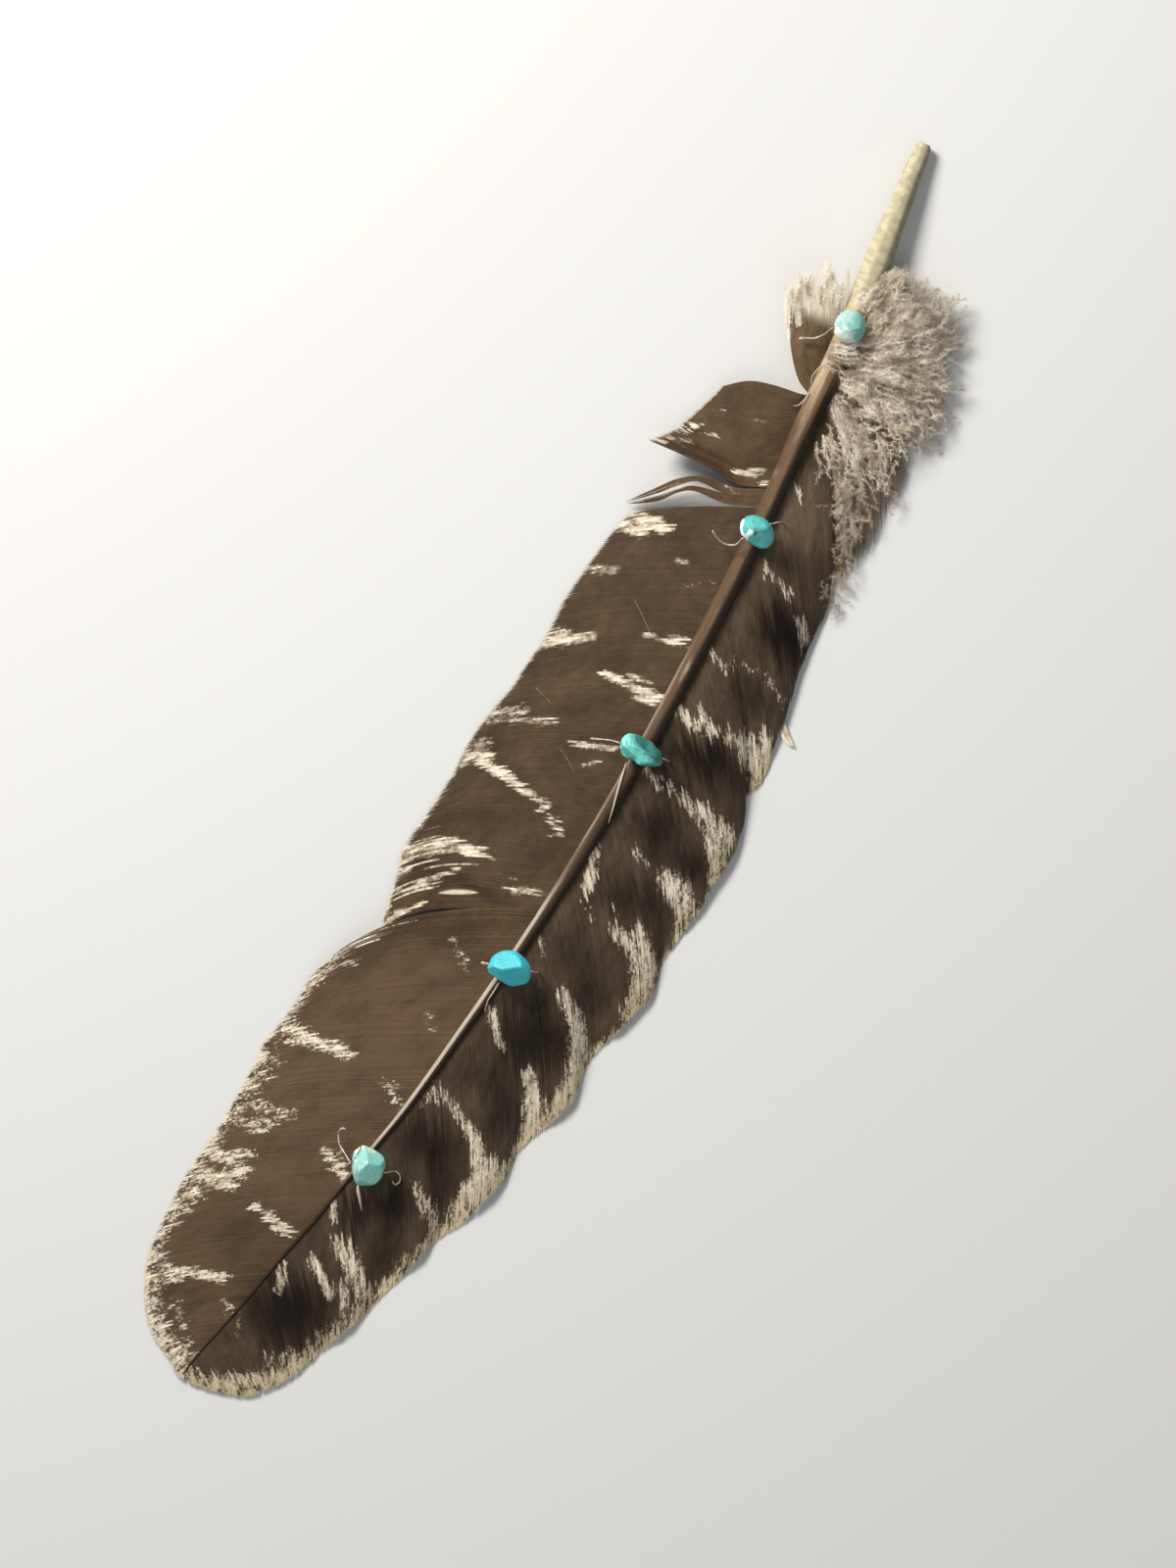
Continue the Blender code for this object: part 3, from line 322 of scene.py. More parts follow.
def barbs(name, grid, roots, side, material, marks, seed, overlap=1.16, ridge=0.032, wander=0.16, taper=1.3, edge_cream=0.0, edge_reach=5.0, loose=0.0,
          tone=1.0, floor=0.14, ragged=0.35, warm=0.0, frost=0.5, gold=0.0, worm=0.25, lines=(), extra=None):
    """Every barb of one vane as its own thin four-sided strip, lapping over the next one like a roof tile."""
    rng = np.random.default_rng(seed)
    n, m, _ = grid.shape
    ahead = unit(np.gradient(grid, axis=1))
    across = np.gradient(grid, axis=0) if n > 1 else np.zeros_like(grid)
    across = across - (across * ahead).sum(2, keepdims=True) * ahead
    gap = np.linalg.norm(across, axis=2, keepdims=True)
    across = across / np.maximum(gap, 1e-9)
    up = np.cross(ahead, across)
    flip = np.sign(up[:, :, 2:3])
    up, across = up * flip, across * flip
    usual = np.median(np.stack([np.roll(gap, k, axis=0) for k in range(-6, 7)]), axis=0) if n > 20 else gap
    half = np.clip(0.5 * np.minimum(gap, 1.2 * usual) * overlap, 0.02, 0.6)

    step = np.linalg.norm(np.diff(grid, axis=1), axis=2)
    dist = np.concatenate([np.zeros((n, 1)), np.cumsum(step, axis=1)], axis=1)
    total = dist[:, -1:]
    t = dist / total
    left_to_go = total - dist
    thin = np.clip(left_to_go / taper, 0.0, 1.0) ** 0.8
    thin = 0.12 + 0.88 * thin
    half = half * thin[:, :, None]

    # each barb strays a little from its place, more towards its tip, and some end short
    stray = noise2(roots[:, None] * 0.9, dist * 0.07, seed + 1, 3) * wander * (0.15 + t**1.3)
    bunch = noise1(roots * 0.42, seed + 2, 3)[:, None] * 1.0 * loose * t**2.5
    lift = rng.normal(0, 0.008, (n, 1)) + noise2(roots[:, None] * 1.7, dist * 0.12, seed + 3, 2) * 0.015
    middle = grid + across * (stray + bunch)[:, :, None] + up * lift[:, :, None]
    short = (rng.uniform(0, 1, n) ** 3 * ragged + 0.25 * ragged * (noise1(roots * 1.1, seed + 4, 2) + 1))[:, None]
    keep = 1 - short / total
    middle = middle[:, :1] + (middle - middle[:, :1]) * (1 - (1 - keep[:, :, None]) * t[:, :, None] ** 2)

    middle[:, :, 2] = np.where(middle[:, :, 2] < floor + 0.5, floor + 0.5 * np.exp(np.minimum((middle[:, :, 2] - floor - 0.5) / 0.5, 0)), middle[:, :, 2])
    high = ridge * (0.75 + 0.5 * rng.uniform(0, 1, (n, 1, 1))) * thin[:, :, None]
    side_low = 0.045 * thin[:, :, None]
    points = np.stack([middle - half * across - side_low * up, middle + high * up, middle + half * across + 0.3 * side_low * up,
                       middle - 0.085 * thin[:, :, None] * up], axis=2)            # barb, station, corner, xyz
    verts = points.reshape(-1, 3)

    b, s = np.meshgrid(np.arange(n), np.arange(m - 1), indexing="ij")
    first = (b * m + s).ravel() * 4
    quads = []
    for c in range(4):
        d = (c + 1) % 4
        quads.append(np.stack([first + c, first + d, first + 4 + d, first + 4 + c], axis=1))
    quads = np.concatenate(quads)
    starts, ends = np.arange(n) * m * 4, np.arange(n) * m * 4 + (m - 1) * 4
    caps = np.concatenate([np.stack([starts + 3, starts + 2, starts + 1, starts], 1), np.stack([ends, ends + 1, ends + 2, ends + 3], 1)])
    faces = np.concatenate([quads, caps])
    p, q, r = (verts[faces[0][k]] for k in range(3))
    centre = middle.reshape(-1, 3)[0]
    if np.dot(np.cross(q - p, r - q), verts[faces[0]].mean(0) - points[0, :2].mean((0, 1))) < 0:
        faces = faces[:, ::-1]

    shift = (1.5 * noise1(roots * 0.8, seed + 5, 3) + rng.normal(0, 0.62, n))[:, None, None]
    density = mark_density((grid[:, :, :2] + ahead[:, :, :2] * shift).reshape(-1, 2), marks).reshape(n, m)
    # the tone patches give each point the plumage's own light and dark bars together with painted shade
    tone_and_shade = tone_and_painted_shade((grid[:, :, :2] + ahead[:, :, :2] * 1.7 * shift).reshape(-1, 2)).reshape(n, m) * tone
    density = density * np.clip(0.93 + 0.30 * noise1(roots * 1.1, seed + 6, 3) + rng.normal(0, 0.11, n), 0.35, 1.25)[:, None]
    border = np.broadcast_to(np.asarray(edge_cream, float), (n,))[:, None] * (1 + 0.25 * noise1(roots * 0.3, seed + 8, 2)[:, None])
    worms = noise2(roots[:, None] * 0.62, dist * 0.42, seed + 7, 2)
    edge_reach = np.broadcast_to(np.asarray(edge_reach, float), (n,))[:, None]
    density = np.maximum(density, border * (1 - ease(left_to_go, 0.2, edge_reach)) * (0.62 + 0.75 * worms) + 0.35 * border * (1 - ease(left_to_go, 0.1, 1.3)))
    for root, start, stop, strength in lines:                   # single pale barbs
        row = int(np.abs(roots - root).argmin())
        density[row] = np.maximum(density[row], strength * ease(t[row], start, start + 0.12) * (1 - ease(t[row], stop - 0.1, stop)))
    four = lambda a: np.repeat(np.broadcast_to(a, (n, m)).reshape(-1), 4)
    attributes = {
        "rank": four(roots[:, None]), "dist": four(dist), "rim": four(left_to_go), "rnd": four(rng.uniform(0, 1, (n, 1))),
        "cream": four(density), "tone": four(tone_and_shade), "warm": four(np.broadcast_to(np.asarray(warm, float), (n,))[:, None]), "frost": four(np.broadcast_to(np.asarray(frost, float), (n,))[:, None]), "gold": four(np.full((n, m), gold)), "worm": four(np.full((n, m), worm)),
        **{key: four(value) for key, value in (extra or {}).items()},
    }
    return new_piece(name, verts, faces, material, attributes=attributes, uv=plan_uv(verts), smooth=False)


# ---------------------------------------------------------------- materials

class Nodes:
    """A short way to write a node tree."""

    def __init__(self, name):
        self.material = bpy.data.materials.new(name)
        self.material.use_nodes = True
        self.tree = self.material.node_tree
        self.shader = self.tree.nodes["Principled BSDF"]

    def node(self, kind, **values):
        n = self.tree.nodes.new(kind)
        for key, value in values.items():
            setattr(n, key, value)
        return n

    def link(self, a, b):
        self.tree.links.new(a, b)

    def feed(self, socket, value):
        if isinstance(value, bpy.types.NodeSocket):
            self.link(value, socket)
        elif isinstance(value, tuple) and len(value) == 3 and socket.type == "RGBA":
            socket.default_value = (*value, 1)
        else:
            socket.default_value = value

    def attribute(self, name):
        return self.node("ShaderNodeAttribute", attribute_name=name).outputs["Fac"]

    def math(self, op, *args, clamp=False):
        n = self.node("ShaderNodeMath", operation=op, use_clamp=clamp)
        for k, a in enumerate(args):
            self.feed(n.inputs[k], a)
        return n.outputs[0]

    def vector(self, x, y, z=0.0):
        n = self.node("ShaderNodeCombineXYZ")
        for k, a in enumerate((x, y, z)):
            self.feed(n.inputs[k], a)
        return n.outputs[0]

    def noise(self, at, scale=1.0, detail=3.0, rough=0.55, distort=0.0):
        n = self.node("ShaderNodeTexNoise")
        self.feed(n.inputs["Vector"], at)
        n.inputs["Scale"].default_value, n.inputs["Detail"].default_value = scale, detail
        n.inputs["Roughness"].default_value, n.inputs["Distortion"].default_value = rough, distort
        return n.outputs["Fac"]

    def span(self, value, lo, hi, out_lo=0.0, out_hi=1.0, smooth=True):
        n = self.node("ShaderNodeMapRange", interpolation_type="SMOOTHSTEP" if smooth else "LINEAR")
        for k, a in enumerate((value, lo, hi, out_lo, out_hi)):
            self.feed(n.inputs[k], a)
        return n.outputs[0]

    def mix(self, factor, a, b, kind="MIX"):
        n = self.node("ShaderNodeMix", data_type="RGBA", blend_type=kind)
        for socket, value in ((n.inputs[0], factor), (n.inputs[6], a), (n.inputs[7], b)):
            self.feed(socket, value)
        return n.outputs[2]

    def scaled(self, colour, factor):
        n = self.node("ShaderNodeVectorMath", operation="SCALE")
        self.feed(n.inputs[0], colour)
        self.feed(n.inputs[3], factor)
        return n.outputs[0]

    def bump(self, height, distance, strength=1.0):
        n = self.node("ShaderNodeBump")
        n.inputs["Strength"].default_value = strength
        n.inputs["Distance"].default_value = distance
        self.feed(n.inputs["Height"], height)
        self.link(n.outputs[0], self.shader.inputs["Normal"])

    def finish(self, colour, roughness, **plain):
        self.feed(self.shader.inputs["Base Color"], colour)
        self.feed(self.shader.inputs["Roughness"], roughness)
        for key, value in plain.items():
            self.shader.inputs[key.replace("_", " ")].default_value = value
        return self.material


def vane_material(name, dark=(0.050, 0.030, 0.0155), brown=(0.094, 0.058, 0.030), cream=(0.82, 0.745, 0.605), pale=False):
    m = Nodes(name)
    rank, dist, rim, rnd, marks, tone, warm, worm = (m.attribute(k) for k in ("rank", "dist", "rim", "rnd", "cream", "tone", "warm", "worm"))
    along = m.vector(m.math("MULTIPLY", rank, 1.7), m.math("MULTIPLY", dist, 0.16))
    fine = m.vector(m.math("MULTIPLY", rank, 5.0), m.math("MULTIPLY", dist, 0.55), 7.0)
    broad = m.vector(m.math("MULTIPLY", rank, 0.14), m.math("MULTIPLY", dist, 0.11), 3.0)
    mottle = m.vector(m.math("MULTIPLY", rank, 0.55), m.math("MULTIPLY", dist, 0.42), 5.0)
    streak, grit, cloud, spots = m.noise(along, 1.0, 1.5, 0.5), m.noise(fine, 1.0, 2.0, 0.6), m.noise(broad, 1.0, 3.0), m.noise(mottle, 1.0, 3.0, 0.6)
    # brown: broad clouds and mottling, with only faint streaks along the barbs
    blend = m.math("ADD", m.math("MULTIPLY", streak, 0.12), m.math("ADD", m.math("MULTIPLY", cloud, 0.55), m.math("MULTIPLY", spots, 0.33)))
    body = m.mix(m.span(blend, 0.34, 0.68), dark, brown)
    body = m.mix(m.math("MULTIPLY", warm, m.span(cloud, 0.3, 0.6, 0.5, 1.0), clamp=True), body, (0.110, 0.066, 0.0365))
    light = m.math("ADD", 0.93, m.math("MULTIPLY", rnd, 0.14))
    light = m.math("MULTIPLY", light, m.math("ADD", 0.85, m.math("MULTIPLY", grit, 0.30)))
    # the 'tone' attribute scales the brown: the plumage's own bars and painted shade
    body = m.scaled(body, m.math("MULTIPLY", light, tone))
    # cream: the marks' density, feathered by streaks that follow single barbs
    breakup = m.math("ADD", m.math("MULTIPLY", m.math("SUBTRACT", streak, 0.5), 1.25), m.math("MULTIPLY", m.math("SUBTRACT", grit, 0.5), 0.26))
    curl = m.noise(m.vector(m.math("MULTIPLY", rank, 0.72), m.math("MULTIPLY", dist, 0.5), 11.0), 1.0, 1.5, 0.5, 0.7)
    curl = m.span(m.math("ABSOLUTE", m.math("SUBTRACT", curl, 0.5)), 0.02, 0.13, 0.36, -0.36)
    breakup = m.math("ADD", m.math("MULTIPLY", breakup, m.math("SUBTRACT", 1.0, m.math("MULTIPLY", worm, 0.5))), m.math("MULTIPLY", curl, worm))
    cover = m.span(m.math("ADD", marks, breakup), 0.30, 1.08)
    cover = m.math("MULTIPLY", cover, m.span(marks, 0.05, 0.35))
    if pale:    # the barbs turn pale towards their loose ends
        body = m.mix(m.math("MULTIPLY", m.attribute("pale"), m.span(grit, 0.1, 0.7, 0.55, 1.0)), body, (0.70, 0.61, 0.46))
    # cream marks are dimmed where the tone is dark, by pigment and painted shade alike
    shade = m.span(tone, 0.35, 1.0, 0.66, 1.0)
    light_cream = m.mix(m.span(m.math("ADD", m.math("MULTIPLY", streak, 0.5), m.math("MULTIPLY", grit, 0.5)), 0.36, 0.62), (0.50, 0.40, 0.26), cream)
    light_cream = m.mix(m.math("MULTIPLY", m.attribute("gold"), m.span(rim, 1.0, 9.0, 0.8, 0.0)), light_cream, (0.50, 0.40, 0.235))
    colour = m.mix(cover, body, m.scaled(light_cream, shade))
    # a thin pale rim at every tip: partly worn barb tips, partly painted rim light where the tips catch the light
    tip_wear_and_rim_light = m.math("MULTIPLY", m.span(rim, 0.2, 0.9, 0.8, 0.0), m.span(streak, 0.35, 0.6, 0.35, 1.0))
    colour = m.mix(m.math("MULTIPLY", tip_wear_and_rim_light, m.attribute("frost")), colour, (0.46, 0.415, 0.31))
    m.bump(m.math("ADD", grit, m.noise(m.vector(m.math("MULTIPLY", rank, 9.0), m.math("MULTIPLY", dist, 5.0), 1.0), 1.0, 2.0)), 0.00006, 0.5)
    return m.finish(colour, m.span(streak, 0.2, 0.8, 0.5, 0.66), Specular_IOR_Level=0.1)


# ---------------------------------------------------------------- build: vanes

VANE = vane_material("vane_barbs")
VANE_RIGHT = vane_material("vane_barbs_right", (0.050, 0.034, 0.021), (0.098, 0.070, 0.045))
DOWNY = vane_material("vane_barbs_downy", (0.088, 0.058, 0.034), (0.20, 0.145, 0.098))
LOBE = vane_material("lobe_barbs", (0.075, 0.047, 0.024), (0.15, 0.098, 0.052), pale=True)

RIPPLE_RIGHT = ((92, 0.2, 0), (84, 0.4, 0), (70, 0.9, 0), (58, 0.9, 0), (46, -1.0, 0), (36, 0.9, 0), (26, 1.3, 0), (15, 0.4, 0), (6, -1.0, 0), (-4, 1.0, 0), (-12, 0.9, 0), (-20, -0.9, 0),
                (-30, 1.1, 0), (-43, -0.9, 0), (-54, 1.1, 0), (-68, -0.9, 0), (-78, 0.9, 0), (-90, -0.9, 0), (-102, 0.8, 0), (-114, -0.2, 0), (-128, 0.3, 0), (-151, 0.0, 0))
RIPPLE_LEFT = ((66, 0.6, 0), (56, 0.1, 0), (44, 0.7, 0), (32, -0.3, 0), (20, 0.5, 0), (8, -0.3, 0), (-4, 0.5, 0), (-14, 0.2, 0), (-22, 0.9, 0), (-30.6, 0.2, 0))


def ripple(grid, roots, table, gain):
    t = np.linspace(0, 1, grid.shape[1])[None, :]
    grid[:, :, 2] += gain * curve(table, roots)[:, :1] * (0.25 * np.sin(np.pi * t) + 0.85 * t**1.4)
    return grid


GRIDS = []


def on_vane(x, y):
    """Height of the closed vanes' surface at a point."""
    best = min(((float(np.hypot(g[:, :, 0] - x, g[:, :, 1] - y).min()), k) for k, g in enumerate(GRIDS)))
    g = GRIDS[best[1]]
    return float(g[:, :, 2].reshape(-1)[np.hypot(g[:, :, 0] - x, g[:, :, 1] - y).reshape(-1).argmin()])


def part(grid, at, reach, half):
    """Open a thin lens-shaped split between two neighbouring barbs, centred on a point."""
    at = np.array(at)
    away = np.linalg.norm(grid[:, :, :2] - at, axis=2)
    row = int(away.min(axis=1).argmin())
    k = int(away[row].argmin())
    way = unit(grid[row, min(k + 2, grid.shape[1] - 1), :2] - grid[row, max(k - 2, 0), :2])
    off = np.array([-way[1], way[0]])
    side = np.sign((grid[row - 3, k, :2] - at) @ off)
    s = ((grid[:, :, :2] - at) @ way) / reach
    order = np.arange(len(grid))[:, None] - row
    by = half * np.sqrt(np.clip(1 - s**2, 0, 1)) * np.exp(-np.abs(order + 0.5) / 4.0) * np.where(order < 0, 1, -1) * side
    grid[:, :, :2] += by[:, :, None] * off
    return grid


DOWNY_ROWS = (
    (91.8, ((11.6, 86.0, 5.6), (16.0, 77.5, 4.0), (20.5, 69.0, 2.4), (26.2, 60.4, 0.7))),
    (93.0, ((12.4, 87.5, 5.6), (17.8, 78.5, 4.2), (23.0, 69.5, 2.6), (28.9, 59.6, 0.7))),
    (94.2, ((13.4, 89.0, 5.5), (19.6, 81.5, 4.2), (25.2, 73.0, 2.6), (30.0, 64.5, 0.8))),
    (95.6, ((14.2, 91.5, 5.4), (20.8, 86.0, 4.1), (26.2, 79.0, 2.5), (30.9, 71.5, 0.8))),
    (97.2, ((14.6, 94.5, 5.3), (21.4, 91.0, 4.0), (26.6, 86.0, 2.4), (31.0, 80.5, 0.8))),
    (99.0, ((14.6, 97.5, 5.2), (21.4, 95.5, 3.9), (26.6, 92.5, 2.3), (30.4, 89.5, 0.8))),
)


def make_vanes():
    n = 36
    roots = np.arange(66.2, -30.7, -0.47)
    grid = fan(roots, tips_on(LEFT_EDGE, LEFT_ROOTS, roots), -1, np.interp(roots, [-30, -8, 20], [13, 8, 5]), np.interp(roots, [-30, -8, 20], [34, 22, 13]), n, np.interp(roots, [-30.6, -20, 66], [0.5, 0.2, 0.2]))
    ripple(grid, roots, RIPPLE_LEFT, 1.0)
    GRIDS.append(grid)
    away = np.linalg.norm(grid[:, :, :2] - np.array([-12.3, -35.0]), axis=2)
    row = int(away.min(axis=1).argmin())
    k = int(away[row].argmin())
    under = np.array([grid[row + step, k - 5 : k + 6] - np.array([0, 0, 0.45]) for step in (-2, -1, 0, 1, 2)])
    grid = part(grid, (-12.2, -35.0), 4.6, 0.8)
    barbs("vane_left_upper", grid, roots, -1, VANE, MARKS_LEFT, 11, edge_cream=np.interp(roots, [-30, -12, 10, 30, 60], [1.0, 0.85, 0.6, 0.4, 0.15]), edge_reach=4.0, loose=0.2, ragged=0.2, wander=0.11, worm=0.3, tone=0.92,
          frost=np.interp(roots, [-30, 20, 60], [1.0, 0.8, 0.35]),
          lines=((-11.5, 0.74, 0.95, 0.6), (-14.4, 0.7, 1.0, 0.7), (-17.2, 0.6, 0.9, 0.75), (-19.6, 0.66, 1.0, 0.8), (-21.4, 0.42, 0.86, 0.66), (-23.4, 0.56, 0.92, 0.72), (-26.6, 0.6, 1.0, 0.8)))
    barbs("barb_pale", under, roots[row - 2 : row + 3], -1, LOBE, (), 14, wander=0.02, ragged=0.05, overlap=1.4, extra={"pale": np.ones(under.shape[:2])})

    roots = np.concatenate([np.arange(-29.5, -138, -0.47), np.linspace(-138.2, -151.0, 44)])
    grid = fan(roots, tips_on(LOW_EDGE, LOW_ROOTS, roots), -1, np.interp(roots, [-60, -31], [5, 14]), np.interp(roots, [-60, -31], [13, 26]), n,
               np.interp(roots, [-151, -140, -60, -40, -31], [0.6, 0.2, 0.1, 0.9, 2.0]))
    t = np.linspace(0, 1, n)[None, :]
    rise = np.exp(-((roots[:, None] + 31.5) / 3.4) ** 2)
    grid[:, :, 2] += rise * 0.95 * np.sin(np.pi * np.clip(t * 0.9 + 0.1, 0, 1)) ** 0.8
    grid[:, :, 2] += 0.5 * noise1(roots * 0.07, 5)[:, None] * t
    grid[roots > -30.8, :, 2] -= 0.75                        # these lie under the last barbs of the upper vane
    GRIDS.append(grid)
    barbs("vane_left_lower", grid, roots, -1, VANE, MARKS_LOW, 12, edge_cream=np.interp(roots, [-150, -120, -60, -40, -31], [1.12, 1.02, 1.0, 0.82, 0.3]), edge_reach=7.5,
          loose=0.3, warm=np.interp(roots, [-110, -60, -42, -31], [0.45, 0.6, 0.4, 0.05]), frost=0.95, tone=1.10, worm=0.62, ragged=0.22,
          lines=((-31.4, 0.5, 1.0, 0.8), (-32.6, 0.7, 1.0, 0.9), (-34.0, 0.62, 0.95, 0.75), (-36.0, 0.74, 1.0, 0.8)))

    roots = np.concatenate([np.arange(92.0, -138, -0.49), np.linspace(-138.2, -151.0, 40)])
    grid = fan(roots, tips_on(RIGHT_EDGE, RIGHT_ROOTS, roots), 1, np.interp(roots, [-140, -100, 92], [2, 4, 5]), np.interp(roots, [-140, 92], [6, 11]), n,
               np.full(len(roots), 0.4))
    ripple(grid, roots, RIPPLE_RIGHT, 1.15)
    GRIDS.append(grid)
    barbs("vane_right", grid, roots, 1, VANE_RIGHT, MARKS_RIGHT, 13, edge_cream=np.interp(roots, [-150, -120, -70, -40, -10, 15, 30, 60], [1.26, 1.2, 1.3, 1.15, 0.95, 0.8, 0.4, 0.05]), gold=1.0,
          edge_reach=np.interp(roots, [-150, -120, -70, -20, 30], [9.0, 9.0, 7.5, 4.8, 3.6]), worm=0.5,
          loose=0.3, frost=np.interp(roots, [-60, 0, 60], [0.8, 0.3, 0.1]))

    # above the closed vane the barbs crowd at the shaft and end in soft, loose tips
    grid, roots = lanes(DOWNY_ROWS, 62, 30, 1)
    GRIDS.append(grid)
    barbs("vane_right_downy", grid, roots, 1, DOWNY, MARKS_RIGHT, 15, ragged=2.6, loose=0.8, taper=7.0, wander=0.5, overlap=1.3, frost=0.15)


make_vanes()


# ---------------------------------------------------------------- build: the loose lobes of the left vane

LOBE_WIDE = (
    (92.0, ((1.5, 91.35, 7.0), (-4.0, 90.4, 5.9), (-9.0, 88.8, 4.4), (-13.5, 85.3, 2.4))),
    (88.0, ((0.5, 86.0, 7.0), (-5.0, 85.0, 5.6), (-10.0, 83.8, 4.0), (-14.7, 81.6, 2.0))),
    (84.0, ((0.0, 81.4, 6.9), (-5.5, 80.3, 5.5), (-11.0, 79.3, 3.9), (-15.9, 78.0, 2.0))),
    (80.0, ((-0.2, 77.2, 6.8), (-6.0, 76.0, 5.6), (-12.0, 75.4, 4.2), (-17.2, 74.9, 2.6))),
    (76.5, ((-0.4, 73.6, 6.9), (-6.5, 72.9, 6.0), (-13.0, 72.7, 5.2), (-18.4, 72.4, 4.2))),
    (74.0, ((-0.6, 71.2, 6.4), (-6.5, 71.0, 5.2), (-13.0, 70.8, 4.6), (-19.8, 70.6, 5.2))),
    (72.2, ((-0.6, 69.8, 6.9), (-6.5, 69.9, 6.6), (-13.5, 69.7, 6.5), (-20.8, 69.2, 6.6))),
    (71.2, ((-0.8, 68.8, 7.7), (-7.0, 69.0, 8.1), (-14.0, 68.7, 8.1), (-21.9, 68.1, 7.6))),
)
LOBE_TOP = (
    (92.6, ((0.2, 94.4, 6.4), (-4.0, 99.1, 6.0), (-7.9, 105.6, 6.0), (-10.0, 111.0, 6.4))),
    (95.5, ((-0.2, 98.6, 6.7), (-4.0, 103.0, 6.7), (-7.4, 108.2, 6.8), (-9.6, 113.4, 7.0))),
    (98.5, ((0.2, 101.8, 6.7), (-3.0, 105.8, 7.0), (-6.0, 110.4, 7.2), (-8.2, 114.5, 7.4))),
    (101.5, ((0.6, 104.6, 6.6), (-1.6, 107.8, 7.1), (-4.0, 112.4, 7.4), (-5.4, 118.1, 7.6))),
    (104.5, ((0.9, 107.2, 6.4), (-0.6, 109.8, 6.9), (-2.2, 112.8, 7.2), (-3.6, 116.4, 7.5))),
    (107.5, ((1.2, 109.8, 6.2), (0.6, 111.6, 6.5), (-0.4, 113.6, 6.8), (-1.6, 115.4, 7.0))),
)
STRAND_UPPER = (
    (70.6, ((-1.0, 67.5, 7.2), (-8.0, 66.5, 5.8), (-12.0, 64.0, 4.6), (-15.2, 60.3, 3.2), (-20.1, 54.2, 1.3))),
    (69.5, ((-1.0, 66.1, 7.2), (-8.2, 65.5, 5.8), (-11.4, 63.2, 4.6), (-14.8, 59.4, 3.2), (-20.0, 54.1, 1.3))),
)
STRAND_LOWER = (
    (69.1, ((-1.0, 65.8, 7.1), (-8.4, 64.1, 5.5), (-11.4, 61.8, 4.2), (-14.4, 58.6, 3.0), (-19.8, 54.1, 1.3))),
    (67.0, ((-1.0, 64.1, 7.1), (-8.0, 63.3, 5.5), (-11.2, 61.2, 4.2), (-14.0, 57.8, 3.0), (-19.6, 54.0, 1.3))),
)
SINGLE = ((109.5, ((1.4, 113.4, 6.8), (-0.2, 117.4, 7.2), (-1.7, 120.3, 7.2))), (108.9, ((1.0, 113.0, 6.8), (-0.5, 117.0, 7.2), (-1.9, 120.1, 7.2))))


def make_lobes():
    grid, roots = lanes(LOBE_WIDE, 78, 30, -1)
    GRIDS.append(grid)
    barbs("vane_lobe_wide", grid, roots, -1, VANE, MARKS_WIDE, 21, wander=0.06, tone=1.12, ragged=0.16, loose=0.04, taper=0.9, overlap=1.3, frost=1.0, edge_cream=0.55, edge_reach=1.8)
    grid, roots = lanes(LOBE_TOP, 40, 30, -1)
    top = ease(grid[:, :, 1], 105.6, 109.6)
    barbs("vane_lobe_top", grid, roots, -1, LOBE, (), 22, wander=0.35, ragged=2.4, loose=0.9, taper=7.0, tone=1.15, extra={"pale": top})
    for k, (rows, count) in enumerate(((STRAND_UPPER, 4), (STRAND_LOWER, 5)), 1):
        grid, roots = lanes(rows, count, 34, -1)
        barbs(f"vane_strand_{k}", grid, roots, -1, VANE, ((-12, 63.5, -19, 55, 0.8, 0.42), (-4, 66.8, 0, 66.9, 0.3, 0.6)), 23 + k, wander=0.05, taper=3.0, ragged=0.6, tone=1.25)
    grid, roots = lanes(SINGLE, 3, 24, -1)
    barbs("barb_single", grid, roots, -1, LOBE, (), 27, taper=3.0, overlap=1.5, extra={"pale": np.ones(grid.shape[:2])})
    line = [spread(row, 14) for row in (((25.5, 33.8, 1.3), (30.6, 29.6, 1.0), (33.4, 27.2, 0.7), (36.0, 25.5, 0.5)),
                                        ((26.0, 32.6, 1.3), (30.8, 28.7, 1.0), (33.2, 26.6, 0.7), (35.8, 25.3, 0.5)),
                                        ((26.6, 31.0, 1.2), (31.0, 27.9, 0.9), (33.0, 26.2, 0.7), (35.4, 25.2, 0.5)))]
    barbs("vane_spur", np.array(line), np.array([57.0, 56.5, 56.0]), 1, VANE, ((31, 29, 36.5, 25.2, 2.2, 1.3),), 28, wander=0.03, ragged=0.4, overlap=1.3)


# ---------------------------------------------------------------- build: the shaft

CREAM, PEACH, UMBER, DARK, BONE_AND_HIGHLIGHT = (np.array(c) for c in ((0.495, 0.44, 0.285), (0.47, 0.335, 0.215), (0.102, 0.057, 0.029), (0.022, 0.012, 0.006), (0.46, 0.40, 0.32)))


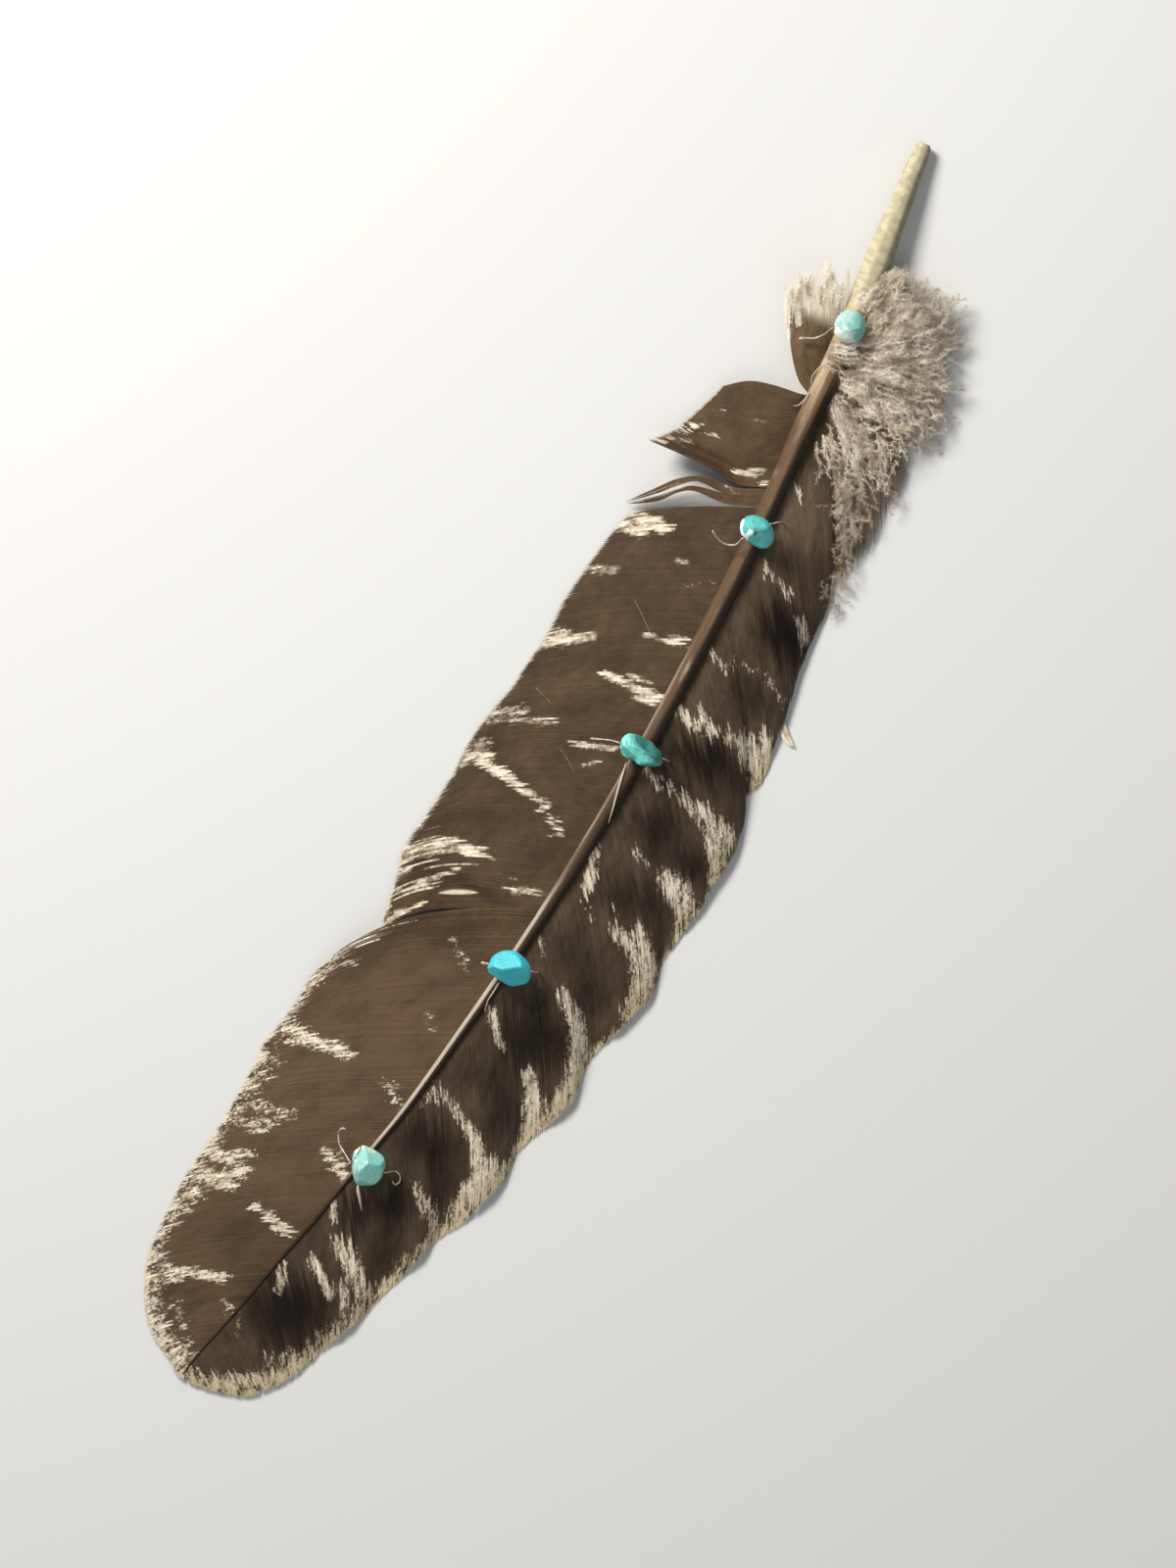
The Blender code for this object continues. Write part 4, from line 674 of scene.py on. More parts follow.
def shaft_tint(u, ys):
    """Pigment over the shaft, with painted light and shade: u across it from -1 to 1, one row for each y. A pale quill
    darkens to umber;
    past the middle its left flank turns bone white and the rest nearly black, partly the shaft's own colour and partly
    painted light on the flank facing the lamp and painted shade on the far flank."""
    y = ys[:, None]
    blend = lambda a, b, f: a + (b - a) * f[:, :, None]
    flat = lambda c: np.broadcast_to(c, (*u.shape, 3))
    full = np.ones_like(u)
    left = blend(flat(CREAM), flat(PEACH), ease(-y, -120, -103) * full)
    left = blend(left, flat(UMBER * 1.12), ease(-y, -99, -84) * full)
    # the left flank turns bone white past the middle: partly its own colour, partly painted light where it faces the
    # lamp
    left = blend(left, flat(BONE_AND_HIGHLIGHT), ease(-y, 16, 36) * (1 - ease(-y, 86, 103)) * full)
    left = blend(left, flat(DARK * 1.7), ease(-y, 94, 108) * full)
    # a paler greyish band on the far left edge near the middle: painted light on the lit flank
    rim = (1 - ease(u, -0.86, -0.62)) * ease(-y, -38, -26) * (1 - ease(-y, 12, 24))
    left = blend(left, flat((0.26, 0.20, 0.15)), rim)
    middle = blend(flat(CREAM * 0.86), flat(UMBER * 1.9), ease(-y, -116, -100) * full)
    middle = blend(middle, flat(UMBER), ease(-y, -96, -84) * full)
    middle = blend(middle, flat(UMBER * 0.5), ease(-y, -24, 6) * full)
    middle = blend(middle, flat(DARK * 1.2), ease(-y, 100, 118) * full)
    # the right side is half as bright at the quill and nearly black past it: mostly painted shade on the flank away
    # from the lamp
    right = blend(flat(CREAM * 0.5), flat(UMBER * 1.2), ease(-y, -116, -102) * full)
    right = blend(right, flat(DARK), ease(-y, -101, -92) * full)
    wobble = 0.06 * noise1(ys * 0.25, 47, 2)[:, None]
    one = np.interp(ys, [-150, -90, -40, -14, 5, 40, 60, 90, 130], [-0.1, -0.1, -0.36, -0.5, -0.6, -0.5, -0.35, -0.15, -0.3])[:, None] + wobble
    two = np.interp(ys, [-150, -90, -20, 0, 60, 90, 130], [0.2, 0.2, 0.2, 0.1, 0.1, 0.25, 0.5])[:, None] + wobble
    out = blend(left, middle, ease(u, one - 0.13, one + 0.13))
    # a bright band along the top of the ridge between y 30 and 96: painted highlight
    ridge = np.exp(-((u - np.interp(ys, [30, 90], [-0.05, -0.1])[:, None]) / 0.11) ** 2) * ease(y, 30, 44) * (1 - ease(y, 88, 96))
    out = out * (1 + 0.75 * ridge * (0.75 + 0.5 * noise1(ys * 0.4, 49, 2)[:, None]))[:, :, None]
    return blend(out, right, ease(u, two - 0.1, two + 0.1))


def shaft_material():
    m = Nodes("shaft_keratin")
    tint = m.node("ShaderNodeAttribute", attribute_name="tint").outputs["Color"]
    along, round_, quill = m.attribute("along"), m.attribute("round"), m.attribute("quill")
    fibre = m.noise(m.vector(m.math("MULTIPLY", round_, 16.0), m.math("MULTIPLY", along, 0.09)), 1.0, 4.0, 0.6)
    coarse = m.noise(m.vector(m.math("MULTIPLY", round_, 4.0), m.math("MULTIPLY", along, 0.16), 4.0), 1.0, 2.0)
    rings = m.noise(m.vector(m.math("MULTIPLY", round_, 0.35), m.math("MULTIPLY", along, 1.1), 9.0), 1.0, 2.0, 0.45)
    fleck = m.noise(m.vector(m.math("MULTIPLY", round_, 5.0), m.math("MULTIPLY", along, 1.9), 2.0), 1.0, 3.0, 0.6)
    shade = m.math("ADD", 0.42, m.math("ADD", m.math("MULTIPLY", m.span(fibre, 0.3, 0.7), 0.62), m.math("MULTIPLY", coarse, 0.5)))
    blotch = m.noise(m.vector(m.math("MULTIPLY", round_, 1.3), m.math("MULTIPLY", along, 0.62), 6.0), 1.0, 2.0, 0.5)
    ringed = m.math("ADD", 0.80, m.math("ADD", m.math("MULTIPLY", m.span(rings, 0.35, 0.65), 0.05), m.math("ADD", m.math("MULTIPLY", m.span(fleck, 0.4, 0.7), 0.14), m.math("MULTIPLY", m.span(blotch, 0.42, 0.6), 0.24))))
    shade = m.math("ADD", m.math("MULTIPLY", shade, m.math("SUBTRACT", 1.0, quill)), m.math("MULTIPLY", ringed, quill))
    colour = m.scaled(tint, shade)
    height = m.math("ADD", m.math("MULTIPLY", fibre, m.math("SUBTRACT", 1.0, m.math("MULTIPLY", quill, 0.8))), m.math("MULTIPLY", m.math("MULTIPLY", rings, quill), 1.2))
    m.bump(height, 0.00022, 0.6)
    return m.finish(colour, m.span(fibre, 0.2, 0.8, 0.46, 0.64), Specular_IOR_Level=0.22)


def make_shaft():
    sides = 36
    ys = np.concatenate([np.arange(-151.5, 149.6, 0.85), np.linspace(149.7, 150.6, 6)])
    x, width, depth, height = shaft_at(ys).T
    soft = ease(ys, 149.9, 150.65)
    width, depth = width * (1 - 0.16 * soft), depth * (1 - 0.16 * soft)
    a = 2 * np.pi * (np.arange(sides) + 0.5) / sides
    width = width * (1 + 0.08 * ease(ys, 95, 120) + 0.14 * ease(ys, 136, 149))
    ridge = ease(-ys, -112, -92)[:, None]                    # round at the quill, ridged above where the vane sits
    ca, sa = np.cos(a)[None, :], np.sin(a)[None, :]
    power = 2 - 0.35 * ridge
    radius = (np.abs(ca) ** power + np.abs(sa) ** power) ** (-1 / power)
    rough = 1 + 0.018 * noise2(np.broadcast_to(a[None, :] * 2.5, radius.shape if radius.shape[0] > 1 else (len(ys), sides)), ys[:, None] * 0.16, 41, 2)
    band = ease(ys, 112, 120)[:, None]
    rough = rough + 0.006 * band * noise1(ys * 0.75, 43, 2)[:, None] + 0.006 * band * noise2(a[None, :] * 1.2 + 0 * ys[:, None], ys[:, None] * 0.9, 44)
    groove = 1 - 0.10 * ridge * np.exp(-((ca - 0.16) / 0.11) ** 2) * (sa > 0)
    px = x[:, None] + width[:, None] / 2 * ca * radius * rough
    pz = height[:, None] + depth[:, None] / 2 * sa * radius * rough * groove
    verts = np.stack([px, np.broadcast_to(ys[:, None], px.shape), pz], axis=2)
    u = np.clip((px - x[:, None]) / (width[:, None] / 2), -1, 1)
    n = len(ys)
    # the cut end: rim, then a shallow hollow
    rings = [verts.reshape(-1, 3)]
    for scale, drop in ((0.86, 0.02), (0.66, -0.10), (0.5, -0.9), (0.3, -2.0)):
        centre = np.array([x[-1], ys[-1], height[-1]])
        ring = centre + (verts[-1] - centre) * scale
        ring[:, 1] = ys[-1] + drop + 0.10 * np.sin(a * 2 + 0.6)
        rings.append(ring)
    verts = np.vstack(rings)
    total = n + 4
    i, j = np.meshgrid(np.arange(total - 1), np.arange(sides), indexing="ij")
    k = (j + 1) % sides
    faces = np.stack([i * sides + j, (i + 1) * sides + j, (i + 1) * sides + k, i * sides + k], axis=2).reshape(-1, 4).tolist()
    faces.append(list(range(sides)))
    faces.append(list(range((total - 1) * sides, total * sides))[::-1])

    tint = shaft_tint(u, ys)
    tint = tint.reshape(-1, 3)
    pale_spot = np.zeros(len(tint))                                # pale spots on the ridge
    flat = verts[: n * sides]
    for cx, cy, rx, ry, f in ((8.0, 29.5, 0.35, 1.6, 0.8), (7.95, 27.4, 0.25, 1.0, 0.6), (5.6, 84.5, 0.3, 2.4, 0.45), (4.9, 87.0, 0.25, 1.3, 0.4), (5.2, 74.5, 0.3, 0.8, 0.4), (4.4, 72.0, 0.3, 0.9, 0.8)):
        pale_spot = np.maximum(pale_spot, f * np.exp(-((flat[:, 0] - cx) / rx) ** 2 - ((flat[:, 1] - cy) / ry) ** 2) * (flat[:, 2] > 0))
    tint = tint * (1 - pale_spot[:, None]) + np.array([0.42, 0.33, 0.24]) * pale_spot[:, None]
    # the cut end's rings get darker from its rim down into the hollow: painted shade in the hollow
    tint = np.vstack([tint] + [np.tile(c, (sides, 1)) for c in ((0.60, 0.52, 0.33), (0.42, 0.34, 0.21), (0.12, 0.09, 0.05), (0.04, 0.03, 0.02))])
    along = np.concatenate([np.repeat(ys, sides), np.full(4 * sides, 151.0)])
    around = np.concatenate([np.tile(u[0], 1)[None, :].repeat(n, 0).ravel(), np.tile(np.cos(a), 4)])
    uv = np.stack([np.tile(np.arange(sides) / sides, total), np.linspace(0.01, 0.99, total).repeat(sides)], axis=1)
    shaft = new_piece("shaft", verts, faces, shaft_material(), attributes={"tint": tint, "along": along, "round": np.concatenate([u.ravel(), np.tile(np.cos(a), 4)]),
                      "quill": np.concatenate([np.repeat(ease(ys, 96, 118), sides), np.ones(4 * sides)])})
    return shaft


def tube(name, line, radius, material, sides=12, replaces="feather", uv=True):
    """A closed round tube along a line of points, with a radius for each."""
    line = np.asarray(line, float)
    radius = np.broadcast_to(radius, (len(line),))
    ahead = unit(np.gradient(line, axis=0))
    side = np.cross(ahead[0], (0.3, 0.2, 1.0))
    frames = []
    for t in ahead:
        side = side - t * (side @ t)
        side = side / np.linalg.norm(side)
        frames.append((side, np.cross(t, side)))
    a = 2 * np.pi * np.arange(sides) / sides
    verts = np.vstack([p + r * (np.cos(a)[:, None] * f[0] + np.sin(a)[:, None] * f[1]) for p, r, f in zip(line, radius, frames)])
    n = len(line)
    i, j = np.meshgrid(np.arange(n - 1), np.arange(sides), indexing="ij")
    k = (j + 1) % sides
    faces = np.stack([i * sides + j, i * sides + k, (i + 1) * sides + k, (i + 1) * sides + j], axis=2).reshape(-1, 4).tolist()
    faces += [list(range(sides))[::-1], list(range((n - 1) * sides, n * sides))]
    return new_piece(name, verts, faces, material, replaces=replaces)


# ---------------------------------------------------------------- build: down

# The tuft's barbs fan out from the shaft: order, root y, then three points on the way, the last its tip
DOWN_FAN = (
    (0, 117.5, 7.4, 119.5, 6.2, 8.2, 122.5, 6.2, 8.8, 125.8, 5.2), (1, 113.0, 9.5, 115.8, 7.2, 11.8, 120.0, 7.0, 13.2, 124.4, 5.0),
    (2, 109.5, 10.8, 112.4, 7.8, 14.8, 118.4, 7.2, 17.6, 125.8, 4.4), (3, 106.0, 11.8, 109.0, 8.0, 17.8, 116.3, 7.0, 22.6, 125.6, 3.8),
    (4, 103.0, 12.5, 106.0, 8.0, 20.0, 113.0, 6.5, 26.0, 121.5, 3.4), (5, 101.0, 13.0, 103.5, 8.0, 21.5, 109.0, 6.2, 29.0, 115.5, 3.0),
    (6, 99.5, 13.2, 101.2, 7.8, 22.5, 104.6, 5.8, 31.0, 107.5, 2.8), (7, 98.0, 13.4, 98.6, 7.6, 23.5, 99.6, 5.4, 34.0, 100.0, 2.4),
    (8, 97.0, 13.2, 96.4, 7.4, 22.5, 94.8, 5.2, 32.0, 92.6, 2.2), (9, 96.0, 13.2, 94.0, 7.2, 22.0, 90.0, 5.0, 30.8, 85.0, 2.0),
    (10, 95.0, 13.2, 91.6, 7.2, 21.5, 85.5, 4.8, 30.9, 77.5, 1.9), (11, 94.5, 13.0, 90.2, 7.2, 20.5, 82.0, 4.8, 29.9, 69.5, 1.8),
    (12, 94.0, 12.6, 89.0, 7.2, 18.8, 80.5, 5.0, 27.2, 63.0, 2.0), (13, 93.5, 11.8, 88.0, 7.2, 16.0, 80.0, 5.4, 21.5, 68.5, 3.6),
)
DOWN_QUILL = (
    (0, 8.3, 104.5, 8.6, 9.5, 108.0, 9.8, 10.6, 112.0, 9.4, 12.2, 116.5, 7.2), (1, 8.2, 108.5, 8.4, 9.0, 111.5, 9.6, 9.8, 115.5, 9.0, 11.0, 120.5, 7.0),
    (2, 6.4, 112.6, 8.6, 7.2, 114.8, 9.4, 8.1, 118.4, 8.9, 9.7, 123.6, 6.8), (3, 4.8, 112.9, 8.8, 5.6, 115.6, 9.4, 6.7, 119.4, 8.9, 8.4, 124.9, 6.6),
    (4, 3.4, 113.0, 8.8, 4.0, 115.2, 9.2, 4.9, 117.8, 8.9, 6.8, 122.8, 7.0),
)
DOWN_OVER = (
    (0, 2.9, 99.6, 8.6, 5.6, 99.2, 9.7, 9.5, 99.4, 9.2, 15.0, 99.6, 7.8), (1, 2.8, 101.6, 8.8, 5.6, 102.2, 9.9, 9.6, 103.6, 9.6, 15.0, 106.5, 8.0),
    (2, 2.6, 103.6, 8.6, 5.0, 104.6, 10.6, 8.4, 106.2, 10.8, 13.5, 110.5, 8.4), (3, 6.6, 105.5, 8.6, 8.6, 108.4, 10.4, 10.4, 112.0, 9.6, 11.5, 117.0, 8.0),
    (4, 6.2, 112.5, 7.6, 7.4, 115.5, 8.0, 8.0, 119.0, 7.6, 8.6, 124.4, 6.0),
)


def plume(name, lines, seed, material, pitch=0.12, reach=(0.6, 1.6), stem=0.07, width=0.062, flat=0.6, wave=0.5):
    """Loose barbs, each a fine wavy stem with soft barbules down both sides. lines: a list of point arrays in millimetres."""
    rng = np.random.default_rng(seed)
    verts, quads, tris, rank, share, tip = [], [], [], [], [], []
    count = 0

    def add(points, value, where, end, faces4, faces3):
        nonlocal count
        verts.append(points)
        rank.append(np.full(len(points), value) if np.isscalar(value) else value)
        share.append(where)
        tip.append(end)
        quads.append(faces4 + count)
        if faces3 is not None:
            tris.append(faces3 + count)
        count += len(points)

    for line in lines:
        value = rng.uniform()
        length = np.linalg.norm(np.diff(line, axis=0), axis=1).sum()
        m = max(8, int(length / 0.8))
        p = spread(line, m)
        ahead = unit(np.gradient(p, axis=0))
        side = unit(np.cross(np.tile((0.0, 0.0, 1.0), (m, 1)), ahead))
        t = np.linspace(0, 1, m)
        far = t * length
        turn, beat = rng.uniform(0, 2 * np.pi, 2), rng.uniform(0.75, 1.5)
        swing = wave * ease(t, 0.12, 0.6) * rng.uniform(0.4, 1.5)
        p = p + side * (swing * np.sin(far * beat + turn[0]))[:, None] + np.array([0, 0, 1]) * (0.6 * swing * np.sin(far * beat * 0.8 + turn[1]))[:, None]
        ahead = unit(np.gradient(p, axis=0))
        side = unit(np.cross(np.tile((0.0, 0.0, 1.0), (m, 1)), ahead))
        up = np.cross(ahead, side)
        w = stem * np.linspace(1.0, 0.35, m)[:, None]
        ring = np.stack([p + side * w, p + up * w * 1.2, p - side * w], axis=1).reshape(-1, 3)
        base = np.arange(m - 1)[:, None] * 3
        f = np.concatenate([np.stack([base[:, 0] + c, base[:, 0] + (c + 1) % 3, base[:, 0] + 3 + (c + 1) % 3, base[:, 0] + 3 + c], 1) for c in range(3)])
        add(ring, value, np.repeat(t, 3), np.zeros(3 * m), f, None)
        k = 2 * int(length / pitch)
        at = np.sort(rng.uniform(0, 1, k))
        i = at * (m - 1)
        lo = np.minimum(i.astype(int), m - 2)
        fr = (i - lo)[:, None]
        pos = p[lo] * (1 - fr) + p[lo + 1] * fr
        hand = np.where(rng.uniform(size=k) < 0.5, -1.0, 1.0)[:, None]
        lean = np.radians(rng.uniform(24, 80, k))[:, None]
        roll = rng.normal(0.15, flat, k)[:, None]
        way = np.cos(lean) * ahead[lo] + np.sin(lean) * (hand * np.cos(roll) * side[lo] + np.sin(roll) * up[lo])
        long = (rng.uniform(reach[0], reach[1], k) * (0.55 + 0.6 * np.sin(np.pi * np.clip(at * 0.8 + 0.15, 0, 1))))[:, None]
        bend = unit(ahead[lo] * 0.6 + rng.normal(0, 0.8, (k, 3)))
        mid = pos + 0.5 * long * way
        end = pos + long * unit(way + 0.9 * bend)
        wide = unit(np.cross(way, rng.normal(0, 1, (k, 3)) * np.array([0.6, 0.6, 1.0]) + np.array([0, 0, 1.2])))
        hw = width * 0.5 * rng.uniform(0.7, 1.3, (k, 1))
        fil = np.stack([pos - wide * hw, pos + wide * hw, mid + wide * hw * 0.75, mid - wide * hw * 0.75, end], axis=1).reshape(-1, 3)
        first = np.arange(k) * 5
        add(fil, np.repeat(np.clip(value + rng.normal(0, 0.12, k), 0, 1), 5), np.repeat(at, 5), np.tile([0, 0, 0.5, 0.5, 1.0], k),
            np.stack([first, first + 1, first + 2, first + 3], 1), np.stack([first + 3, first + 2, first + 4], 1))
    verts = np.vstack(verts)
    verts[:, 2] = np.maximum(verts[:, 2], 0.12 + 0.25 * rng.uniform(size=len(verts)))
    faces = np.vstack(quads).tolist() + np.vstack(tris).tolist()
    attributes = {"rnd": np.concatenate(rank), "share": np.concatenate(share), "tip": np.concatenate(tip), "high": verts[:, 2]}
    return new_piece(name, verts, faces, material, attributes=attributes, uv=plan_uv(verts), smooth=False)


def down_material(name, dark=(0.31, 0.245, 0.18), mid=(0.74, 0.63, 0.49), light=(1.0, 0.94, 0.83), outer=(0.35, 0.295, 0.225)):
    m = Nodes(name)
    rnd, share, tip, high = (m.attribute(k) for k in ("rnd", "share", "tip", "high"))
    where = m.node("ShaderNodeNewGeometry").outputs["Position"]
    cloud = m.noise(where, 210.0, 3.0, 0.6)
    colour = m.mix(m.span(cloud, 0.32, 0.62), dark, mid)
    colour = m.mix(m.math("MULTIPLY", m.span(rnd, 0.2, 0.8), m.span(cloud, 0.3, 0.62)), colour, light)
    # barbs lying lower are darker: painted shade under the barbs above them
    colour = m.mix(m.span(high, 0.6, 5.0, 0.5, 0.0), colour, dark)
    grey = m.math("MULTIPLY", m.span(share, 0.5, 1.0), 0.6)
    colour = m.mix(grey, colour, outer)
    return m.finish(colour, 0.85, Specular_IOR_Level=0.15)


def fanned(rows, count, seed, jitter, shaft_root):
    """Lines drawn at random between guide rows."""
    rng = np.random.default_rng(seed)
    g = np.linspace(rows[0][0], rows[-1][0], count) + rng.normal(0, 0.12, count)
    table = curve(rows, g)
    lines = []
    for row in table:
        if shaft_root:
            start, rest = root_points(row[:1] + rng.normal(0, 0.5), 1)[0] - np.array([0.5, 0, 0.3]), row[1:]
        else:
            start, rest = row[:3], row[3:]
        pts = np.vstack([start, rest.reshape(-1, 3)])
        reach = rng.uniform(0.80, 1.02) if rng.uniform() < 0.75 else rng.uniform(0.4, 0.8)
        pts = start + (pts - start) * (1 + (reach - 1) * np.linspace(0, 1, len(pts))[:, None])
        pts[1:] += rng.normal(0, jitter, (len(pts) - 1, 3)) * np.array([1, 1, 0.55])
        pts[1:, 2] += rng.uniform(-1.8, 0.9)
        lines.append(pts)
    return lines


def make_down():
    soft = down_material("down")
    plume("down_upper", fanned([r for r in DOWN_FAN if r[0] <= 5.5], 124, 61, 0.8, True), 62, soft, reach=(0.6, 1.7), width=0.052, stem=0.05, wave=0.7)
    sparse = [r for r in DOWN_FAN if 8.5 <= r[0] <= 11]
    plume("down_middle", fanned([r for r in DOWN_FAN if 4.5 <= r[0] <= 8.7], 92, 63, 0.9, True) + fanned(sparse, 16, 75, 1.2, True), 64, soft, reach=(0.6, 1.7), width=0.055, stem=0.05, wave=0.7)
    bright = down_material("down_strands", (0.40, 0.31, 0.22), (0.82, 0.69, 0.53), (1.0, 0.95, 0.85), (0.66, 0.57, 0.45))
    strands = fanned(DOWN_OVER, 34, 67, 0.5, False) + fanned(DOWN_QUILL, 78, 68, 0.5, False)
    rng = np.random.default_rng(69)
    stray = []                # small tufts that have strayed over the vane, each a few short barbs from one point
    chain = spread([(16.0, 85.0), (19.0, 80.0), (22.3, 74.0), (24.8, 68.0), (27.2, 62.0), (28.4, 57.5)], 17)
    away_from = spread([(12.6, 81.5), (19.0, 80.0), (23.6, 74.0), (25.4, 68.0), (27.0, 62.0), (28.2, 57.5)], 60)
    for n in range(150):
        x, y = away_from[int(rng.integers(0, 60))] if n % 3 else chain[int(rng.integers(0, 9))]
        x, y = x + rng.normal(0, 1.25), y + rng.normal(0, 1.3)
        root = np.array([x, y, on_vane(x, y) + rng.uniform(0.2, 0.8)])
        angle = math.radians(rng.normal(-62, 42))
        away = np.array([math.cos(angle), math.sin(angle), 0.02])
        off = np.array([-away[1], away[0], 0.0]) * rng.normal(0, 1.5)
        s_ = np.linspace(0, 1, 7)[:, None]
        long = rng.uniform(1.6, 4.6) * (1.0 if y > 63 else 0.6)
        stray.append(root + away * long * s_ + off * s_**2 + np.array([0, 0, 1]) * rng.uniform(0.1, 0.7) * np.sin(np.pi * s_))
    plume("down_stray", stray, 76, down_material("down_stray", (0.26, 0.195, 0.135), (0.50, 0.41, 0.305), (0.74, 0.655, 0.54), (0.42, 0.35, 0.265)), pitch=0.10, reach=(0.4, 1.25), stem=0.024, width=0.036, flat=0.8, wave=0.3)
    for _ in range(200):      # short curls through the tuft
        x, y = rng.uniform(9.5, 26), rng.uniform(80, 110)
        if y < 81.5 + 0.2 * (x - 10):
            continue
        angle = math.radians(rng.normal(-38 if y < 92 else 12, 26))
        long = rng.uniform(3, 6.5)
        z = 6.6 - 0.2 * (x - 8) + rng.uniform(0.2, 1.4) + 1.2 * float(ease(np.array(y), 84, 96))
        away = np.array([math.cos(angle), math.sin(angle), -0.10])
        strands.append(np.array([[x, y, z]]) + away * long * np.linspace(0, 1, 4)[:, None] + np.cumsum(rng.normal(0, 0.45, (4, 3)), axis=0) * np.array([1, 1, 0.35]))
    plume("down_strands", strands, 66, bright, pitch=0.12, reach=(0.4, 1.2), stem=0.045, width=0.056, wave=0.55)
    fringe = []
    for r, pts in LOBE_TOP:
        line = spread([root_points(np.array([r]), -1)[0], *pts], 20)
        for _ in range(9):
            cut = rng.integers(10, 15)
            fringe.append(line[cut:] + rng.normal(0, 0.4, 3) * np.array([1, 1, 0.5]) + np.linspace(0, 1, 20 - cut)[:, None] ** 2 * rng.normal(0, 0.6, 3) * np.array([1, 0.5, 1]))
    plume("down_left", fringe, 72, down_material("down_left", (0.52, 0.44, 0.33), (0.86, 0.78, 0.63), (1.0, 0.95, 0.83), (0.86, 0.80, 0.67)), pitch=0.12, reach=(0.5, 1.3), width=0.055, wave=0.4)


# ---------------------------------------------------------------- build: nuggets and wires

NUGGETS = (
    dict(at=(4.6, 108.6), high=2.9, bore=32, under=1.9,
         outline=((1.1, 109.2), (1.45, 110.7), (2.3, 111.8), (4.6, 112.3), (6.6, 111.8), (7.8, 110.1), (8.0, 107.7), (7.2, 106.3), (5.4, 105.2), (3.4, 105.1), (2.0, 106.0), (1.3, 107.4)),
         tops=((100, 66, 2.35), (200, 42, 2.75), (-30, 52, 2.65), (-95, 44, 2.9), (150, 32, 3.1), (40, 40, 3.0)), lows=((0, -60, 2.6), (120, -35, 3.2), (240, -40, 3.1)),
         tail=((0.6, 105.0, -1.8), (-0.8, 103.3, -2.7), (-2.3, 102.5, -2.9), (-3.8, 101.5, -2.9)), dive=((9.2, 110.9),)),
    dict(at=(7.6, 61.8), high=2.9, bore=55, under=1.7,
         outline=((3.3, 62.2), (3.6, 60.8), (4.6, 59.5), (6.2, 58.8), (7.9, 58.6), (9.8, 58.6), (11.0, 59.3), (11.7, 60.8), (11.5, 62.2), (10.5, 63.6), (9.3, 64.5), (7.3, 64.9), (5.3, 64.5), (4.1, 63.6)),
         tops=((115, 62, 2.45), (-25, 58, 2.5), (215, 38, 3.0), (-80, 46, 2.75), (20, 30, 3.5), (160, 34, 3.3)), lows=((60, -50, 2.7), (200, -40, 3.0), (-60, -42, 2.9)),
         tail=((5.0, 57.3, -0.9), (3.9, 56.5, -1.6), (2.4, 56.2, -1.9), (0.7, 56.6, -1.9), (-0.9, 57.5, -1.6)), dive=((11.3, 65.9),)),
    dict(at=(7.9, 9.7), high=2.8, bore=8, under=1.9,
         outline=((2.6, 9.9), (2.9, 11.2), (4.0, 12.2), (6.2, 12.7), (9.5, 12.6), (11.9, 11.3), (13.5, 9.3), (12.6, 8.4), (11.0, 7.6), (9.3, 6.7), (8.0, 6.6), (5.9, 6.7), (4.2, 6.8), (3.1, 8.1)),
         tops=((98, 42, 2.0), (-86, 54, 2.15), (172, 32, 4.1), (-35, 34, 3.6), (75, 20, 3.0), (-130, 30, 3.4)), lows=((-90, -35, 2.9), (10, -50, 3.2), (120, -40, 3.0)),
         tail=((1.0, 8.6, -1.4), (-0.9, 7.8, -2.4), (-3.0, 6.9, -2.9)), dive=((13.9, 10.5),)),
    dict(at=(4.85, -43.3), high=3.0, bore=18, under=-2.0,
         outline=((-0.05, -44.6), (0.3, -46.0), (1.2, -46.7), (3.5, -46.9), (6.6, -46.9), (8.7, -46.2), (9.7, -44.5), (9.7, -42.7), (8.7, -41.0), (7.0, -40.1), (4.9, -39.6), (3.4, -39.8), (1.6, -40.9), (0.4, -42.6)),
         tops=((128, 56, 2.5), (-52, 52, 2.45), (175, 30, 3.9), (50, 30, 3.6), (-100, 36, 2.9)), lows=((60, -55, 2.9), (200, -42, 3.3), (-50, -45, 3.0)),
         tail=((-1.1, -45.3, -0.4),), dive=((10.5, -41.5),)),
    dict(at=(-2.2, -94.4), high=3.0, bore=10, under=2.6,
         outline=((-6.3, -91.7), (-5.8, -90.7), (-4.4, -90.4), (-3.0, -90.2), (-0.2, -90.5), (1.2, -91.6), (1.9, -93.4), (1.7, -96.0), (0.9, -97.6), (-1.7, -99.1), (-2.8, -98.5), (-4.4, -96.8), (-5.7, -94.4)),
         tops=((165, 52, 2.6), (-28, 58, 2.45), (80, 44, 2.9), (-60, 24, 3.6), (215, 30, 3.0), (20, 24, 3.6)), lows=((20, -60, 2.8), (150, -40, 3.2), (-90, -42, 3.3)),
         tail=((-6.6, -94.6, -0.5), (-8.0, -93.8, -1.5), (-9.2, -93.1, -2.0), (-10.1, -92.0, -2.1), (-10.7, -90.7, -1.8), (-10.4, -89.8, -1.4), (-9.6, -89.5, -1.2)),
         dive=((3.6, -92.6), (4.9, -92.9), (5.5, -94.1), (4.9, -95.1), (4.1, -94.7))),
)


def nugget_centre(n):
    x, y = n["at"]
    _, _, depth, height = shaft_at(y)[0]
    return np.array([x, y, height + depth / 2 + 0.5 + n["high"]])


